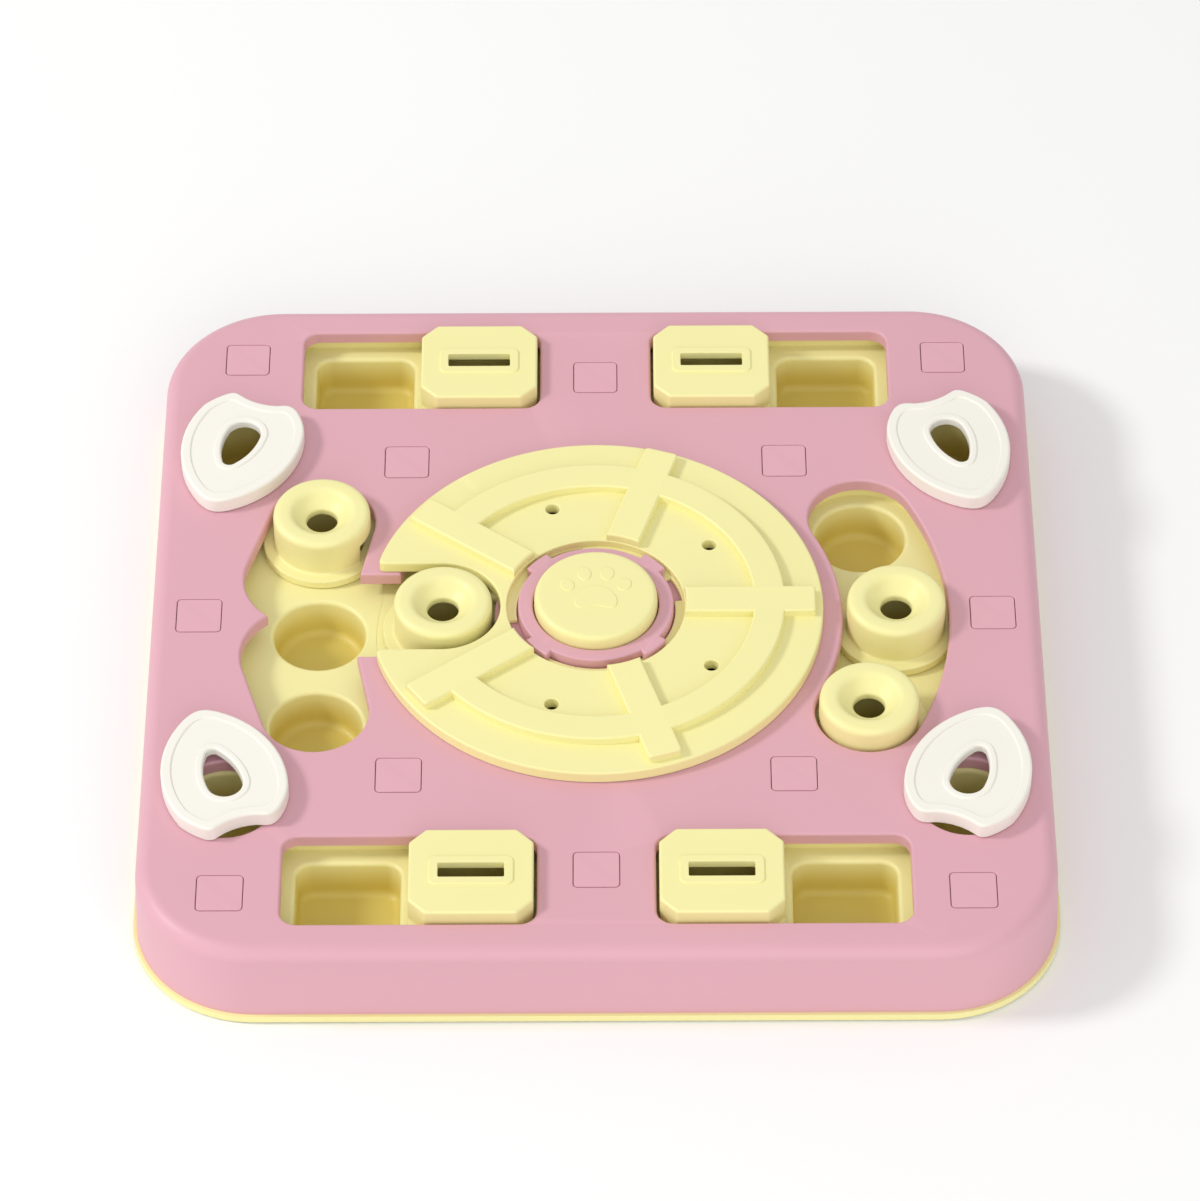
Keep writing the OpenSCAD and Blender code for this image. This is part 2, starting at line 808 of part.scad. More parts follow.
module arc_pan() color(yellow) difference() {
    union() {
        between(deck_under_z, pan_wall_top_z)
            arc_band(flange_way_r + pan_wall_t);
        arc_cup_spots()
            round_cup_body(deck_z);
    }
    between(deck_z, pan_wall_top_z + overrun)
        arc_band(flange_way_r);
    arc_cup_spots()
        round_cup_room(deck_z);
    for (side = [-1, 1])
        rotate(side * right_step_deg / 2)
            translate([right_line_r, 0])
                tile_seam(right_line_r);
}

module corner_cup(sx, sy) color(yellow) translate([sx * petal_cup_x, sy * petal_cup_y])
difference() {
    union() {
        round_cup_body(corner_cup_top_z);
        between(corner_cup_top_z - deck_t, corner_cup_top_z)
            circle(cup_outer_r + corner_cup_rim);
    }
    round_cup_room(corner_cup_top_z);
}

// Outline of a slider with its cut corners, drawn smaller by inset
module slider_outline(inset) {
    half_w = slider_w / 2 - inset;
    half_d = slider_d / 2 - inset;
    cut = slider_cut - inset * (2 - sqrt(2));
    polygon([
        [half_w, -half_d + cut], [half_w, half_d - cut], [half_w - cut, half_d],
        [-half_w + cut, half_d], [-half_w, half_d - cut], [-half_w, -half_d + cut],
        [-half_w + cut, -half_d], [half_w - cut, -half_d]
    ]);
}

module slider(sx, sy) color(yellow) translate([sx * slider_rest_x, sy * slider_window_y])
difference() {
    pocket_w = scent_slot_w + 2 * slot_pocket_spare;
    pocket_d = slider_d - 2 * slider_side_t;
    side_w = (slider_w - pocket_w) / 2 - 2 * slider_wall_t;
    union() {
        between(flange_z, slider_top_z)
            slider_outline(0);
        between(flange_z, rail_top_z)
            square([slider_w, slider_d + 2 * rail_reach], center = true);
        between(slider_top_z, slider_top_z + scent_border_h)
            round_rect(scent_slot_w + 2 * scent_border_w, scent_slot_d + 2 * scent_border_w,
                slot_border_corner_r);
    }
    between(flange_z - overrun, slider_top_z - slider_wall_t)
        square([pocket_w, pocket_d], center = true);
    for (flip = [-1, 1])
        translate([flip * (pocket_w / 2 + slider_wall_t + side_w / 2), 0])
            between(flange_z - overrun, slider_top_z - slider_wall_t)
                square([side_w, slider_d - 2 * slider_cut], center = true);
    between(slider_top_z - slider_wall_t - overrun, slider_top_z + scent_border_h + overrun)
        round_rect(scent_slot_w, scent_slot_d, slot_corner_r);
}

// Solid outside of a peg
module peg_body() {
    rotate_extrude() {
        translate([0, flange_z])
            square([peg_flange_r, peg_flange_t]);
        translate([0, flange_z])
            square([peg_r, peg_top_z - flange_z - peg_edge_r]);
        translate([0, flange_z])
            square([peg_r - peg_edge_r, peg_top_z - flange_z]);
        translate([peg_r - peg_edge_r, peg_top_z - peg_edge_r])
            circle(peg_edge_r);
    }
}

// Room inside a peg, under its funnel
module peg_room() {
    neck_z = peg_top_z - peg_funnel_h - peg_wall_t;
    rotate_extrude()
        polygon([
            [0, flange_z - overrun],
            [peg_r - peg_wall_t, flange_z - overrun],
            [peg_r - peg_wall_t, peg_top_z - peg_wall_t],
            [peg_funnel_r + peg_wall_t, peg_top_z - peg_wall_t],
            [peg_hole_r + peg_wall_t, neck_z],
            [0, neck_z]
        ]);
}

module peg_funnel() {
    rotate_extrude()
        polygon([
            [0, flange_z],
            [peg_hole_r, flange_z],
            [peg_hole_r, peg_top_z - peg_funnel_h],
            [peg_funnel_r, peg_top_z],
            [peg_funnel_r, peg_top_z + overrun],
            [0, peg_top_z + overrun]
        ]);
}

module peg() color(yellow) difference() {
    peg_body();
    peg_room();
    peg_funnel();
}

// This peg has a flat in the cover's window, on the side towards the board's middle, which passes
// the lips of the track
module peg_left() color(yellow) translate([-left_line_x, left_pitch, 0]) difference() {
    peg_body();
    intersection() {
        peg_room();
        translate([peg_flat_at - peg_wall_t - board_w, -board_w / 2, 0])
            cube(board_w);
    }
    peg_funnel();
    translate([peg_flat_at, -peg_r, flange_z + peg_flange_t])
        cube([peg_r, 2 * peg_r, moving_z - flange_z - peg_flange_t]);
}

module peg_inner() translate([-inner_line_r, 0, 0]) peg();

module peg_right(deg) rotate(deg) translate([right_line_r, 0, 0]) peg();

// An arc's circle for the petal's outline, larger by grow
module share_circle(shares, grow) {
    translate(petal_len * [shares[0], shares[1]])
        circle(petal_len * shares[2] + grow);
}

// Outline of the petal over the back right cup, drawn smaller by inset
module petal_outline(inset) {
    difference() {
        intersection() {
            share_circle(outer_arc_shares, -inset);
            share_circle(inner_arc_shares, -inset);
            union() {
                translate([-petal_len, petal_len * (cap_start_share - 2)])
                    square(2 * petal_len);
                intersection() {
                    share_circle(outer_cap_shares, -inset);
                    share_circle(inner_cap_shares, -inset);
                }
            }
        }
        share_circle(notch_arc_shares, inset);
    }
}

// The drop-shaped hole, larger by grow
module drop_outline(grow) {
    belt(petal_len * [drop_wide_shares[0], drop_wide_shares[1]], petal_len * drop_wide_shares[2] + grow,
        petal_len * [drop_narrow_shares[0], drop_narrow_shares[1]],
        petal_len * drop_narrow_shares[2] + grow);
}

module petal(sx, sy) color(white) flip_to(sx, sy) translate([petal_cup_x, petal_cup_y, 0])
difference() {
    between(moving_z, petal_top_z)
        petal_outline(0);
    difference() {
        between(moving_z - overrun, petal_top_z - petal_wall_t)
            petal_outline(petal_wall_t);
        between(moving_z, petal_top_z)
            drop_outline(petal_collar_t);
        translate(pin_place)
            between(moving_z, petal_top_z)
                circle(pin_r + petal_boss_wall_t);
    }
    between(moving_z - overrun, petal_top_z + overrun)
        drop_outline(0);
    translate(pin_place)
        between(moving_z - overrun, pin_top_z)
            circle(pin_r + seat_gap);
}

module petal_pin(sx, sy) color(steel) flip_to(sx, sy)
translate([petal_cup_x + pin_place[0], petal_cup_y + pin_place[1], 0]) {
    between(pin_boss_z - slide_gap, pin_top_z)
        circle(pin_r);
    between(pin_boss_z - slide_gap - petal_pin_head_t, pin_boss_z - slide_gap)
        circle(petal_pin_head_r);
}

// The turntable's slot, open to the left, that holds the inner peg
module disc_slot() {
    slot_at = disc_hole_r + disc_slot_half_w + slot_web;
    translate([-slot_at, 0])
        circle(disc_slot_half_w);
    translate([-slot_at - disc_r, -disc_slot_half_w])
        square([disc_r, 2 * disc_slot_half_w]);
}

module turntable() color(yellow) {
    between(moving_z, disc_top_z)
        difference() {
            circle(disc_r);
            circle(disc_hole_r);
            disc_slot();
            scent_holes();
        }
    between(moving_z, ledge_top_z)
        difference() {
            circle(disc_hole_r + ledge_lap);
            circle(disc_ledge_r);
            for (turn = [0 : 90 : 270])
                rotate(notch_at_deg + turn)
                    intersection() {
                        circle(notch_r);
                        slice(notch_deg, disc_r);
                    }
        }
    between(disc_top_z - disc_t / 2, rib_top_z)
        difference() {
            raised_ribs();
            circle(disc_hole_r);
            disc_slot();
        }
}

module scent_holes() {
    for (turn = scent_holes_deg)
        rotate(turn)
            translate([scent_hole_at, 0])
                circle(scent_hole_r);
}

// The raised ring, open at the slot, and the five spokes
module raised_ribs() {
    difference() {
        circle(ring_inner_r + ring_w);
        circle(ring_inner_r);
        rotate(180)
            slice(ring_open_deg, disc_r);
    }
    for (turn = [-2 : 2])
        rotate(spoke_step_deg * turn)
            translate([0, -spoke_w / 2])
                square([spoke_end_r, spoke_w]);
}

module hub_screw_spots() {
    for (turn = [0 : 90 : 270])
        rotate(turn)
            translate([hub_screw_at, 0])
                children();
}

module hub_collar() color(pink) difference() {
    union() {
        between(hub_under_z, hub_top_z)
            circle(hub_r);
        between(hub_flange_z, cover_top_z)
            circle(hub_flange_r);
        between(ledge_top_z + lug_gap, hub_top_z)
            for (turn = [0 : 90 : 270])
                rotate(lug_at_deg + turn)
                    intersection() {
                        circle(hub_r + lug_reach);
                        slice(lug_deg, disc_r);
                    }
    }
    between(hub_floor_z, hub_lip_z)
        circle(hub_bore_r);
    between(hub_floor_z, hub_top_z + overrun)
        circle(hub_lip_r);
    between(hub_under_z - overrun, hub_floor_z + overrun)
        circle(squeak_hole_r);
    hub_screw_spots()
        between(hub_under_z - overrun, hub_floor_z + overrun)
            circle(hub_screw_r + seat_gap);
}

module paw_button() color(yellow) difference() {
    rotate_extrude() {
        translate([0, button_foot_z])
            square([button_r + button_foot_reach, button_foot_h]);
        translate([0, button_foot_z])
            square([button_r, button_top_z - button_foot_z - button_edge_r]);
        translate([0, button_foot_z])
            square([button_r - button_edge_r, button_top_z - button_foot_z]);
        translate([button_r - button_edge_r, button_top_z - button_edge_r])
            circle(button_edge_r);
    }
    between(button_foot_z - overrun, button_roof_z)
        circle(button_r - button_wall_t);
}

// Folded wall of the bellows, from the floor up
module bellows_section(inset) {
    step = bellows_h / (2 * bellows_folds);
    outer = bellows_r - inset;
    polygon(concat(
        [[0, hub_floor_z + inset]],
        [for (i = [0 : 2 * bellows_folds])
            [outer - (i % 2 == 0 ? bellows_fold : 0),
                min(max(hub_floor_z + i * step, hub_floor_z + inset), button_roof_z - inset)]],
        [[0, button_roof_z - inset]]
    ));
}

module squeaker_bellows() color(grey) difference() {
    rotate_extrude()
        difference() {
            bellows_section(0);
            bellows_section(bellows_wall_t);
        }
    between(hub_floor_z - overrun, hub_floor_z + bellows_wall_t + overrun)
        circle(reed_r + seat_gap);
}

module squeaker_reed() color(white) difference() {
    union() {
        between(hub_floor_z + stack_gap, hub_floor_z + reed_h)
            circle(reed_r);
        between(hub_floor_z + bellows_wall_t, hub_floor_z + bellows_wall_t + reed_flange_t)
            circle(reed_flange_r);
    }
    between(hub_floor_z - overrun, hub_floor_z + reed_h + overrun)
        circle(reed_bore_r);
}

module square_caps() color(pink) screw_spots() between(cap_floor_z, cover_top_z)
    round_rect(cap_w, cap_w, cap_corner_r);

// A screw with a flat head and a cross, whose head sits at the given height
module screw(seat_z, head_r, head_h, r, len) {
    difference() {
        union() {
            between(seat_z, seat_z + head_h)
                circle(head_r);
            between(seat_z - len, seat_z + head_h / 2)
                circle(r);
        }
        between(seat_z + head_h - cross_h * head_h / screw_head_h, seat_z + head_h + overrun) {
            square([cross_share * head_r, cross_w], center = true);
            square([cross_w, cross_share * head_r], center = true);
        }
    }
}

module cover_screws() color(steel) screw_spots()
    screw(screw_seat_z, screw_head_r, screw_head_h, screw_r, screw_len);

module hub_screws() color(steel) hub_screw_spots()
    screw(hub_floor_z, hub_screw_head_r, hub_screw_head_h, hub_screw_r, hub_screw_len - pilot_spare);

module foot(sx, sy) color(grey) translate([sx * foot_at, sy * foot_at]) {
    between(0, foot_gap + foot_seat_t)
        circle(foot_r);
    between(foot_gap, foot_gap + foot_seat_t + foot_stem_h)
        circle(foot_stem_r);
}

base_shell();
screw_posts();
hub_posts();
top_cover();
box_pan(-1, 1);  // box_pan_back_left
box_pan(1, 1);  // box_pan_back_right
box_pan(-1, -1);  // box_pan_front_left
box_pan(1, -1);  // box_pan_front_right
left_pan();
centre_pan();
arc_pan();
corner_cup(-1, 1);  // corner_cup_back_left
corner_cup(1, 1);  // corner_cup_back_right
corner_cup(-1, -1);  // corner_cup_front_left
corner_cup(1, -1);  // corner_cup_front_right
slider(-1, 1);  // slider_back_left
slider(1, 1);  // slider_back_right
slider(-1, -1);  // slider_front_left
slider(1, -1);  // slider_front_right
peg_left();
peg_inner();
peg_right(0);  // peg_right_middle
peg_right(-right_step_deg);  // peg_right_front
petal(-1, 1);  // petal_back_left
petal(1, 1);  // petal_back_right
petal(-1, -1);  // petal_front_left
petal(1, -1);  // petal_front_right
petal_pin(-1, 1);  // petal_pin_back_left
petal_pin(1, 1);  // petal_pin_back_right
petal_pin(-1, -1);  // petal_pin_front_left
petal_pin(1, -1);  // petal_pin_front_right
turntable();
hub_collar();
paw_button();
squeaker_bellows();
squeaker_reed();
square_caps();
cover_screws();
hub_screws();
foot(-1, 1);  // foot_back_left
foot(1, 1);  // foot_back_right
foot(-1, -1);  // foot_front_left
foot(1, -1);  // foot_front_right
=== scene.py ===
"""Looks of a treat puzzle board for dogs: every visible piece, its finish, and a plain studio."""

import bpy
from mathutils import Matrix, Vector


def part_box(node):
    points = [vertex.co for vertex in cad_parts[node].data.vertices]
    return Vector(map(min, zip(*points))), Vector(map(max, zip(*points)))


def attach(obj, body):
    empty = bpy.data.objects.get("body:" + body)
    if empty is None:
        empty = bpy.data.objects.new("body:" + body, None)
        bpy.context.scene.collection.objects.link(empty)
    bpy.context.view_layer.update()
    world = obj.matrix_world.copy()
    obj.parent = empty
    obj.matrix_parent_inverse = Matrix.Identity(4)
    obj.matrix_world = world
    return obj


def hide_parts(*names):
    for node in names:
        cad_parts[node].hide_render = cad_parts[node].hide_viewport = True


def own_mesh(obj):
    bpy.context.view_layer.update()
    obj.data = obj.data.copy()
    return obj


bl_info = {
    "name": "Treat puzzle board",
    "version": (1, 0, 0),
    "blender": (4, 5, 0),
    "location": "3D View > Sidebar > Puzzle board",
    "description": "Models and finishes the pieces of a treat puzzle board for dogs",
    "category": "Add Mesh",
}

from math import atan2, cos, degrees, hypot, pi, radians, sin, sqrt

import bmesh
import bpy
from bpy.props import FloatProperty, FloatVectorProperty, PointerProperty
from bpy.types import Operator, Panel, PropertyGroup
from mathutils import Matrix, Vector

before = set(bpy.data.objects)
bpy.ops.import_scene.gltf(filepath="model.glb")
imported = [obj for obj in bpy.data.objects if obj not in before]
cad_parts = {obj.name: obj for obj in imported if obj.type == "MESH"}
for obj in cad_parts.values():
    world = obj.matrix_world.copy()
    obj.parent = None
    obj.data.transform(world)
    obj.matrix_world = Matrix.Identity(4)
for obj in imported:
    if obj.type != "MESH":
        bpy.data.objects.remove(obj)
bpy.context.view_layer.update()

CORNERS = {
    "back_left": (-1, 1),
    "back_right": (1, 1),
    "front_left": (-1, -1),
    "front_right": (1, -1),
}

# Plan of the board, in millimetres from its middle and in degrees. Most heights are read from
# the CAD nodes.
BOARD_CORNER_R = 36.0
LEFT_LINE = 84.6
LEFT_PITCH = 38.0
TRACK_HALF = 17.1
INNER_LINE = 46.6
INNER_TURNS = (-108, -36, 36, 108, 180)
MIDDLE_WINDOW_R = 62.3
RIGHT_LINE = 91.5
RIGHT_STEP = 26.4
RIGHT_WINDOW_HALF = 16.2
TRAY_HALF = 18.9
ROUND_CUP_R = 14.0
DECK = 19.9
CUP_BOTTOM = 7.0
SLIDER_WINDOW = (55.0, 107.0)
SLIDER_TRAVEL = 36.5
CORNER_CUP = (110.0, 75.0)
CORNER_HOLE_R = 15.0
CAP_SPOTS = [(sx * x, sy * y) for x, y in ((110.3, 111.9), (58.9, 65.8))
             for sy in (1, -1) for sx in (1, -1)]
CAP_SPOTS += [(121.1, 0.0), (-121.1, 0.0), (0.0, 103.4), (0.0, -103.4)]
DISC_R = 69.3
DISC_SLOT_HALF = 17.9
DISC_SLOT_END = 47.0
EYE_R = 27.2
SPOKE_STEP = 72
SCENT_LINE = 43.1

# The circles that a petal's outline and its drop-shaped hole follow, counted from the cup's
# middle: x, y and radius, as shares of the petal's length.
PETAL_LEN = 49.4
PETAL_CURVES = {
    "outer": (-0.285, -0.164, 0.678),
    "inner": (0.283, 0.012, 0.666),
    "outer cap": (-0.081, -0.115, 0.490),
    "inner cap": (0.045, -0.030, 0.427),
    "notch": (-0.223, 0.597, 0.378),
    "drop's wide end": (0.0, -0.034, 0.107),
    "drop's thin end": (0.081, -0.262, 0.045),
}
DROP_SIDE = 0.42
PETAL_PIN = (0.152, -0.476)


def high(node):
    """Top of a CAD node, in millimetres."""
    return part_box(node)[1].z * 1000


def low(node):
    """Bottom of a CAD node, in millimetres."""
    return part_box(node)[0].z * 1000


# ---- flat outlines, in millimetres


def polar(r, angle, about=(0, 0)):
    """The point at this radius and at this angle in degrees."""
    return (about[0] + r * cos(radians(angle)), about[1] + r * sin(radians(angle)))


def arc(cx, cy, r, start, end, count):
    """Points along an arc, both ends included, with the angles in degrees."""
    step = (end - start) / (count - 1)
    return [polar(r, start + i * step, (cx, cy)) for i in range(count)]


def circle(r, at=(0, 0), count=72):
    """A full circle's outline."""
    return arc(*at, r, 0, 360 * (1 - 1 / count), count)


def sector(r0, r1, start, end, count=40):
    """An outline between two radii and two angles."""
    return arc(0, 0, r1, start, end, count) + arc(0, 0, r0, end, start, count)


def bend(before, corner, after, reach, count=5, most=0.49):
    """Points of a soft corner that starts and ends at reach from the sharp one, or at the
    given share of the way to the next point where that is nearer."""
    def towards(p):
        """The point at that distance on the way to a neighbour."""
        d = hypot(p[0] - corner[0], p[1] - corner[1])
        share = min(reach / d, most)
        return tuple(c + (v - c) * share for c, v in zip(corner, p))

    ends = list(zip(towards(before), corner, towards(after)))
    shares = [i / (count - 1) for i in range(count)]
    return [tuple(a * (1 - t) ** 2 + 2 * c * t * (1 - t) + b * t * t for a, c, b in ends)
            for t in shares]


def softened(points):
    """An outline of (x, y, reach) corners with each corner softened by its reach."""
    out = []
    for i, (x, y, reach) in enumerate(points):
        if reach:
            before, after = points[i - 1], points[(i + 1) % len(points)]
            out += bend(before[:2], (x, y), after[:2], reach)
        else:
            out.append((x, y))
    return out


def round_rect(w, d, r, at=(0, 0), count=8):
    """A rectangle with round corners."""
    x, y = w / 2 - r, d / 2 - r
    out = []
    for i, (sx, sy) in enumerate(((1, 1), (-1, 1), (-1, -1), (1, -1))):
        out += arc(at[0] + sx * x, at[1] + sy * y, r, 90 * i, 90 * i + 90, count)
    return out


def swung(points, angle, at=(0, 0)):
    """An outline turned by this many degrees, then moved to a spot."""
    a = radians(angle)
    return [(at[0] + x * cos(a) - y * sin(a), at[1] + x * sin(a) + y * cos(a))
            for x, y in points]


def mirror_y(points):
    """The same outline turned over front to back, still running the same way round."""
    return [(x, -y) for x, y in reversed(points)]


def left_window():
    """The waisted window on the left with its track to the middle."""
    lobe, end, waist = (-87.4, -16.1), (-LEFT_LINE, -39.7), (-100.1, 0)
    lobe_r, end_r, lip_x = 20.5, 16.3, -72.4
    front = arc(*lobe, lobe_r, 136, 197, 14) + arc(*end, end_r, 200, 370, 34)
    front += [(lip_x, -TRACK_HALF), (-50, -TRACK_HALF)]
    return [waist] + front + mirror_y(front)


def arc_band(half_w):
    """The bent window on the right, where the right pegs run."""
    out = arc(0, 0, RIGHT_LINE + half_w, -RIGHT_STEP, RIGHT_STEP, 40)
    for turn, start in ((RIGHT_STEP, RIGHT_STEP), (-RIGHT_STEP, 180 - RIGHT_STEP)):
        out += arc(*polar(RIGHT_LINE, turn), half_w, start, start + 180, 28)[1:-1]
        if turn > 0:
            out += arc(0, 0, RIGHT_LINE - half_w, RIGHT_STEP, -RIGHT_STEP, 30)
    return out


def crossing(a, ra, b, rb, side):
    """Where two circles cross, on the chosen side of the line between them."""
    dx, dy = b[0] - a[0], b[1] - a[1]
    d = hypot(dx, dy)
    along = (d * d + ra * ra - rb * rb) / (2 * d)
    off = sqrt(ra * ra - along * along) * side
    return (a[0] + (along * dx - off * dy) / d, a[1] + (along * dy + off * dx) / d)


def arc_between(c, r, p, q, count, clockwise=False):
    """Points on a circle from p to q, the first included and the last left out."""
    start = degrees(atan2(p[1] - c[1], p[0] - c[0]))
    end = degrees(atan2(q[1] - c[1], q[0] - c[0]))
    if clockwise and end > start:
        end -= 360
    if not clockwise and end < start:
        end += 360
    return arc(*c, r, start, end, count)[:-1]


def petal_curve(name, grow=0.0):
    """Middle and radius of one of a petal's circles, with the radius grown."""
    x, y, r = PETAL_CURVES[name]
    return (x * PETAL_LEN, y * PETAL_LEN), r * PETAL_LEN + grow


def petal_outline(inset=0.0):
    """The leaf outline over the back right cup, counted from that cup's middle."""
    outer, inner = petal_curve("outer", -inset), petal_curve("inner", -inset)
    out_cap, in_cap = petal_curve("outer cap", -inset), petal_curve("inner cap", -inset)
    notch = petal_curve("notch", inset)
    tip = crossing(*outer, *inner, -1)
    right = crossing(*outer, *out_cap, 1)
    notch_right = crossing(*out_cap, *notch, -1)
    notch_left = crossing(*in_cap, *notch, 1)
    left = crossing(*inner, *in_cap, -1)
    sides = [
        arc_between(*outer, tip, right, 16),
        arc_between(*out_cap, right, notch_right, 8),
        arc_between(*notch, notch_right, notch_left, 9, clockwise=True),
        arc_between(*in_cap, notch_left, left, 8),
        arc_between(*inner, left, tip, 16),
    ]
    tip_reach, right_reach, left_reach = 4.4, 2.3, 2.9
    soft = {sides[0][0]: tip_reach, sides[2][0]: right_reach, sides[3][0]: left_reach}
    kept = [p for side in sides for p in side if p in soft or all(
        hypot(p[0] - q[0], p[1] - q[1]) > reach for q, reach in soft.items())]
    out = []
    for i, p in enumerate(kept):
        after = kept[(i + 1) % len(kept)]
        out += bend(kept[i - 1], p, after, soft[p], 8, 0.98) if p in soft else [p]
    return out


def drop_outline(grow=0.0):
    """The drop-shaped hole of a petal, counted from the cup's middle."""
    wide, wide_r = petal_curve("drop's wide end", grow)
    thin, thin_r = petal_curve("drop's thin end", grow)
    side_r = DROP_SIDE * PETAL_LEN + grow

    def touch(end, end_r, side):
        """Where an end's circle meets a side's."""
        share = end_r / hypot(end[0] - side[0], end[1] - side[1])
        return tuple(e + (e - c) * share for e, c in zip(end, side))

    left, right = (
        crossing(wide, side_r - wide_r, thin, side_r - thin_r, turn) for turn in (-1, 1))
    corners = [touch(wide, wide_r, left), touch(wide, wide_r, right),
               touch(thin, thin_r, right), touch(thin, thin_r, left)]
    return (arc_between(wide, wide_r, corners[0], corners[1], 26)
            + arc_between(right, side_r, corners[1], corners[2], 10)
            + arc_between(thin, thin_r, corners[2], corners[3], 14)
            + arc_between(left, side_r, corners[3], corners[0], 10))


# ---- shaping by hand


def clear():
    """Leaves edit mode and selects nothing."""
    if bpy.context.object and bpy.context.object.mode != "OBJECT":
        bpy.ops.object.mode_set(mode="OBJECT")
    bpy.ops.object.select_all(action="DESELECT")


def hold(piece):
    """Selects only this piece."""
    clear()
    piece.select_set(True)
    bpy.context.view_layer.objects.active = piece


def pick(piece, kind, test):
    """Goes into edit mode with only the verts, edges or faces chosen that pass the test."""
    hold(piece)
    bpy.ops.object.mode_set(mode="EDIT")
    bpy.ops.mesh.select_mode(type=kind)
    bpy.ops.mesh.select_all(action="DESELECT")
    mesh = bmesh.from_edit_mesh(piece.data)
    found = {"VERT": mesh.verts, "EDGE": mesh.edges, "FACE": mesh.faces}[kind]
    for part in found:
        if test(part):
            part.select_set(True)
    mesh.select_flush_mode()
    bmesh.update_edit_mesh(piece.data)


def drop_edit():
    """Leaves edit mode with the piece still selected."""
    bpy.ops.object.mode_set(mode="OBJECT")


def face_outwards():
    """Turns every face of the piece in hand outwards."""
    bpy.ops.mesh.select_all(action="SELECT")
    bpy.ops.mesh.normals_make_consistent(inside=False)


def merge(near):
    """Merges points that are as near as this, in metres, in the piece in hand."""
    bpy.ops.mesh.select_all(action="SELECT")
    bpy.ops.mesh.remove_doubles(threshold=near)
    bpy.ops.mesh.dissolve_degenerate(threshold=near)


def middle(edge):
    """Middle of an edge, in millimetres."""
    return (edge.verts[0].co + edge.verts[1].co) * 500


def at_height(edge, z, slack=0.02):
    """Whether both ends of an edge lie at this height, in millimetres."""
    return all(abs(v.co.z * 1000 - z) < slack for v in edge.verts)


def sharp(edge, least=40):
    """Whether an edge turns by at least this many degrees."""
    return len(edge.link_faces) == 2 and degrees(edge.calc_face_angle(0)) > least


def level(z):
    """The test for edges at this height."""
    return lambda e: at_height(e, z)


def crease(z):
    """The test for sharp edges at this height."""
    return lambda e: at_height(e, z) and sharp(e)


def face_from(name, points, z):
    """A filled circle whose rim is laid on the outline, at this height."""
    clear()
    bpy.ops.mesh.primitive_circle_add(vertices=len(points), radius=0.01, fill_type="NGON")
    piece = bpy.context.object
    piece.name = name
    for vert, (x, y) in zip(piece.data.vertices, points):
        vert.co = (x / 1000, y / 1000, z / 1000)
    return piece


def slab(name, points, z0, z1):
    """An outline extruded from one height to another."""
    piece = face_from(name, points, z0)
    pick(piece, "FACE", lambda f: True)
    bpy.ops.mesh.extrude_region_move(TRANSFORM_OT_translate={"value": (0, 0, (z1 - z0) / 1000)})
    face_outwards()
    drop_edit()
    return piece


def grown(points, reach):
    """An outline moved outwards all along by reach, or inwards where reach is negative."""
    out = []
    for i, (x, y) in enumerate(points):
        before, after = points[i - 1], points[(i + 1) % len(points)]
        a = Vector((x - before[0], y - before[1])).normalized()
        b = Vector((after[0] - x, after[1] - y)).normalized()
        side = Vector((a.y + b.y, -a.x - b.x)).normalized()
        stretch = reach / max(side.dot(Vector((a.y, -a.x))), 0.4)
        out.append((x + side.x * stretch, y + side.y * stretch))
    return out


def well(name, outline, mouth, bottom, lip, fillet=0.0, draft=0.0):
    """A cutter for an opening with a round mouth and, where wanted, a round foot."""
    above, bends = 3.0, 5
    piece = face_from(name, grown(outline, lip), mouth + above)
    pick(piece, "FACE", lambda f: True)
    bpy.ops.mesh.extrude_region_move(TRANSFORM_OT_translate={"value": (0, 0, -above / 1000)})
    turns = [radians(90 * i / bends) for i in range(bends + 1)]
    steps = [(lip * (sin(b) - sin(a)), lip * (cos(a) - cos(b))) for a, b in zip(turns, turns[1:])]
    steps.append((draft, mouth - bottom - lip - fillet))
    if fillet:
        steps += [(fillet * (cos(a) - cos(b)), fillet * (sin(b) - sin(a)))
                  for a, b in zip(turns, turns[1:])]
    face_outwards()
    lowest = min(v.co.z for v in bmesh.from_edit_mesh(piece.data).verts)
    drop_edit()
    pick(piece, "FACE", lambda f: abs(f.normal.z) > 0.9 and f.verts[0].co.z < lowest + 0.0005)
    for inwards, down in steps:
        bpy.ops.mesh.inset(thickness=inwards / 1000, depth=down / 1000)
    drop_edit()
    return piece


def tidy(piece):
    """Splits the many-sided faces that a cut left and merges points on top of each other."""
    pick(piece, "FACE", lambda f: len(f.verts) > 4)
    bpy.ops.mesh.quads_convert_to_tris(quad_method="BEAUTY", ngon_method="BEAUTY")
    bpy.ops.mesh.select_mode(type="VERT")
    merge(0.000003)
    drop_edit()


def turned(name, section, steps=96):
    """A closed section of (radius, height) points, spun round an upright axis."""
    clear()
    bpy.ops.mesh.primitive_circle_add(vertices=len(section), radius=0.01, fill_type="NOTHING")
    piece = bpy.context.object
    piece.name = name
    for vert, (r, z) in zip(piece.data.vertices, section):
        vert.co = (r / 1000, 0, z / 1000)
    pick(piece, "VERT", lambda v: True)
    bpy.ops.mesh.spin(steps=steps, angle=2 * pi, center=(0, 0, 0), axis=(0, 0, 1))
    merge(0.000002)
    bpy.ops.mesh.delete_loose()
    face_outwards()
    drop_edit()
    return piece


def soften(piece, width, test, segments=3):
    """Rounds the edges that pass the test."""
    pick(piece, "EDGE", test)
    bpy.ops.mesh.bevel(
        offset=width / 1000, offset_type="OFFSET", segments=segments, profile=0.5,
        affect="EDGES", clamp_overlap=False,
    )
    drop_edit()


